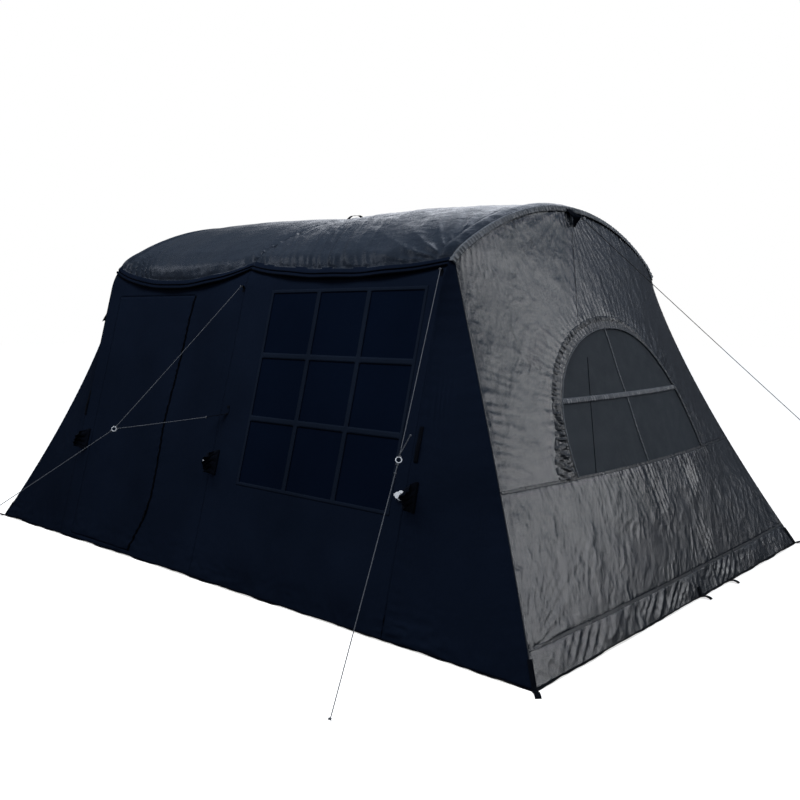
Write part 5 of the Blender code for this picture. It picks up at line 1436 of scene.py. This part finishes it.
def make_tabs():
    """The webbing tabs that the guys tie to, and the loop on the ridge."""
    for side, x in LOW_TABS.items():
        path = [over_seat(x, LOW_TAB_HEIGHT + 0.045), over_seat(x, LOW_TAB_HEIGHT)]
        along = seat(x, LOW_TAB_HEIGHT)[1]
        ways = [along] * 4
        if side == "middle":
            tip = np.array(short_of(path[1], MIDDLE_LOW_TAB_END, GAP))
            path += [(path[1] + tip) / 2, tip]
            way = np.cross(tip - path[1], (0.0, 0.0, -1.0))
            way /= np.linalg.norm(way)
            ways[2:] = [(along + way) / 2, way]
        else:
            path += [over_seat(x, LOW_TAB_HEIGHT - 0.06, 0.006), over_seat(x, LOW_TAB_HEIGHT - 0.12, 0.002)]
        strap(f"tab_low_{side}", path, ways, TAB_WIDTH, nodes=[f"guy_tab_low_{side}"])
    for side, end in (("middle", MIDDLE_TAB_END), ("right", RIGHT_TAB_END)):
        tip = np.array(end) + (0.0, ROPE / 2 + GAP, 0.0)
        path = [over_seat(tip[0], tip[2] - 0.038), over_seat(tip[0], tip[2] - 0.018)]
        path += [(path[1] + tip) / 2 + (0.0, 0.0, 0.003), tip]
        strap(f"tab_high_{side}", path, (1.0, 0.0, 0.0), TAB_WIDTH, nodes=[f"guy_tab_high_{side}"])
    run = np.linspace(-0.270, -0.120, 5)
    lift = np.array((0.0, 0.95, 1.0, 0.95, 0.0)) * 0.022
    roof_z = float(outline(0.0)[1])
    top = ROOF_RADIUS + ROOF_LIFT + 0.006 + GAP + WEBBING_THICK / 2
    path = [(0.0, y, roof_z + math.sqrt(top**2 - y**2) + rise) for y, rise in zip(run, lift)]
    strap("ridge_tab", path, (1.0, 0.0, 0.0), 0.026, nodes=["ridge_loop"], count=30)


def make_patches():
    """The pointed patches at both ends of the ridge, pulled out where a guy ties on."""
    down, across = np.meshgrid(np.linspace(0.0, 1.0, 24), np.linspace(-1.0, 1.0, 23), indexing="ij")
    drop = np.interp(down, (0.0, 0.42, 1.0), (0.006, 0.058, 0.110))
    width = np.interp(down, (0.0, 0.42, 1.0), (1.0, 0.6, 0.2)) * 0.050
    peak = np.interp(down, (0.0, 0.42, 1.0), (0.0, 1.0, 0.0))
    pull = peak * (1.0 - 0.65 * np.abs(across))
    near = WEBBING_THICK / 2 + 2 * GAP + 0.006 * (1.0 - down)
    stand = near + 0.058 * pull + 0.0012 * pleats(across, 0.5, 701, down, 0.5) * peak
    y = across * width
    for name, end in ENDS:
        z = float(outline(end * BEAM_SPACING)[0]) - drop
        grid = np.stack([end_x(end, y, z) + end * stand, y, z], axis=-1)
        # The dark flap cloth is painted shade here: it covers all of the left patch and the shaded left half
        # of the right one, whose right half keeps the end wall's cloth.
        slots = (across[:-1, :-1] > 0) & (end > 0)
        mesh_piece(f"apex_{name}", grid, [FLAP_CLOTH_AND_PAINTED_SHADE, END_CLOTH], slots=slots, thickness=0.0018, offset=0.0,
                   nodes=[f"apex_patch_{name}"], slot="webbing")


def make_hood():
    """The small vent flap on the left end wall, stitched along its top and arched across."""

    def wall_point(across, z):
        y = HOOD_MIDDLE + across
        return np.array((float(end_x(-1, y, z)), y, z))

    middle = wall_point(0.0, HOOD_TOP)
    along = wall_point(-HOOD_HALF_WIDTH, HOOD_TOP) - wall_point(HOOD_HALF_WIDTH, HOOD_TOP)
    along /= np.linalg.norm(along)
    out = np.cross(along, middle - wall_point(0.0, HOOD_TOP - 0.1))
    out /= np.linalg.norm(out)
    up = np.cross(out, along)
    here = middle + out * (CLOTH + 2 * GAP)
    down, across = np.meshgrid(np.linspace(0.0, 1.0, 30), np.linspace(-1.0, 1.0, 25), indexing="ij")
    side = across * HOOD_HALF_WIDTH * (1.0 - 0.3 * down**2)
    stand = HOOD_LENGTH * down * math.sin(HOOD_ANGLE) + 0.022 * down * (1.0 - across**2)
    stand += 0.0015 * down * pleats(across, 0.4, 711, down, 0.6)
    drop = HOOD_LENGTH * down * math.cos(HOOD_ANGLE)
    base = here + along * side[..., None] - up * drop[..., None] + out * stand[..., None]
    made = mesh_piece("vent_flap_cloth", base, FLAP_CLOTH_AND_PAINTED_SHADE, inside=tuple(here - out * 0.5), thickness=0.0018,
                      offset=0.0, body="vent_flap", nodes=["vent_hood"], slot="webbing")
    flat = (reach(base, None, 1), reach(base, None, 0))


def soft_edges(node, width):
    edge = node.modifiers.new("Edges", "BEVEL")
    edge.width = width
    edge.segments = 3
    edge.limit_method = "ANGLE"
    edge.angle_limit = math.radians(40)
    edge.harden_normals = True


def finish_small_parts():
    """The parts that keep their solids: valve bodies, their caps and the zip's slider."""
    for name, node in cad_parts.items():
        if name.startswith("valve_") and not name.startswith("valve_flap"):
            repaint(node, VALVE_PLASTIC)
            soft_edges(node, 0.0008)
        elif name == "door_zip_slider":
            repaint(node, ZIP_PLASTIC)
            soft_edges(node, 0.0005)


# Light and floor.


def make_stage():
    """A pale floor that looks white in the open and keeps the tent's shadow."""
    finish = Finish("floor")
    seen = finish.seen_by("Camera")[0]
    colour = finish.mix(seen, (*FLOOR_BOUNCE, 1.0), (*FLOOR_COLOUR, 1.0))
    glow = finish.times(seen, FLOOR_GLOW)
    finish.set(colour=colour, rough=1.0, shine=0.0, glow_colour=(*FLOOR_GLOW_COLOUR, 1.0), glow=glow)
    data = bpy.data.meshes.new("floor")
    corners = [(x * FLOOR_SIZE, y * FLOOR_SIZE, 0.0) for x, y in ((-1, -1), (1, -1), (1, 1), (-1, 1))]
    data.from_pydata(corners, [], [(0, 1, 2, 3)])
    data.materials.append(finish.made)
    floor = bpy.data.objects.new("floor", data)
    floor.location.z = FLOOR_HEIGHT
    bpy.context.scene.collection.objects.link(floor)


def make_world():
    """An even sky for the light, bright and dark sides in reflections, and white for the camera."""
    world = bpy.data.worlds.new("world")
    bpy.context.scene.world = world
    world.use_nodes = True
    nodes = Nodes(world.node_tree)
    way = nodes.node("ShaderNodeTexCoord")
    sides = (*SKY_LOW, 1.0)
    for aim, near, far, light in SKY_SIDES:
        inputs = {0: way, 1: Vector(aim).normalized()}
        along = nodes.node("ShaderNodeVectorMath", inputs, 1, operation="DOT_PRODUCT")
        near, far = math.cos(math.radians(near)), math.cos(math.radians(far))
        share = nodes.spread(along, far, near, interpolation_type="SMOOTHSTEP")
        sides = nodes.mix(share, sides, (*light, 1.0), blend_type="ADD")
    camera, glossy = nodes.seen_by("Camera", "Glossy")
    colour = nodes.mix(glossy, (*SKY, 1.0), sides)
    colour = nodes.mix(camera, colour, (1.0, 1.0, 1.0, 1.0))
    back = world.node_tree.nodes["Background"]
    nodes.feed(back.inputs["Color"], colour)
    nodes.feed(back.inputs["Strength"], 1.0)


def lamp(name, place, aim, size, power):
    data = bpy.data.lights.new(name, "AREA")
    data.shape = "RECTANGLE"
    data.size, data.size_y = size
    data.energy = power
    made = bpy.data.objects.new(name, data)
    made.location = place
    made.rotation_euler = (Vector(aim) - Vector(place)).to_track_quat("-Z", "Y").to_euler()
    made.visible_camera = False
    bpy.context.scene.collection.objects.link(made)
    return made


def make_lights():
    lamp("key", (8.25, 4.4, 4.5), (2.0, -1.0, 1.0), (3.0, 4.5), 60.0)
    fill = lamp("fill", (0.2, -3.2, 4.6), (0.2, -1.2, 1.0), (5.6, 1.4), 150.0)
    fill.visible_glossy = False


bpy.context.scene.view_settings.view_transform = "Standard"
make_camera()
make_stage()
make_world()
make_lights()
make_ground()
make_beams()
make_roof()
make_bindings()
make_door_bay()
make_window_bay()
make_back_wall()
make_corner_panels()
make_end_wall(-1, "left")
make_end_wall(1, "right")
make_flaps()
make_tabs()
make_patches()
make_hood()
make_ropes()
finish_small_parts()
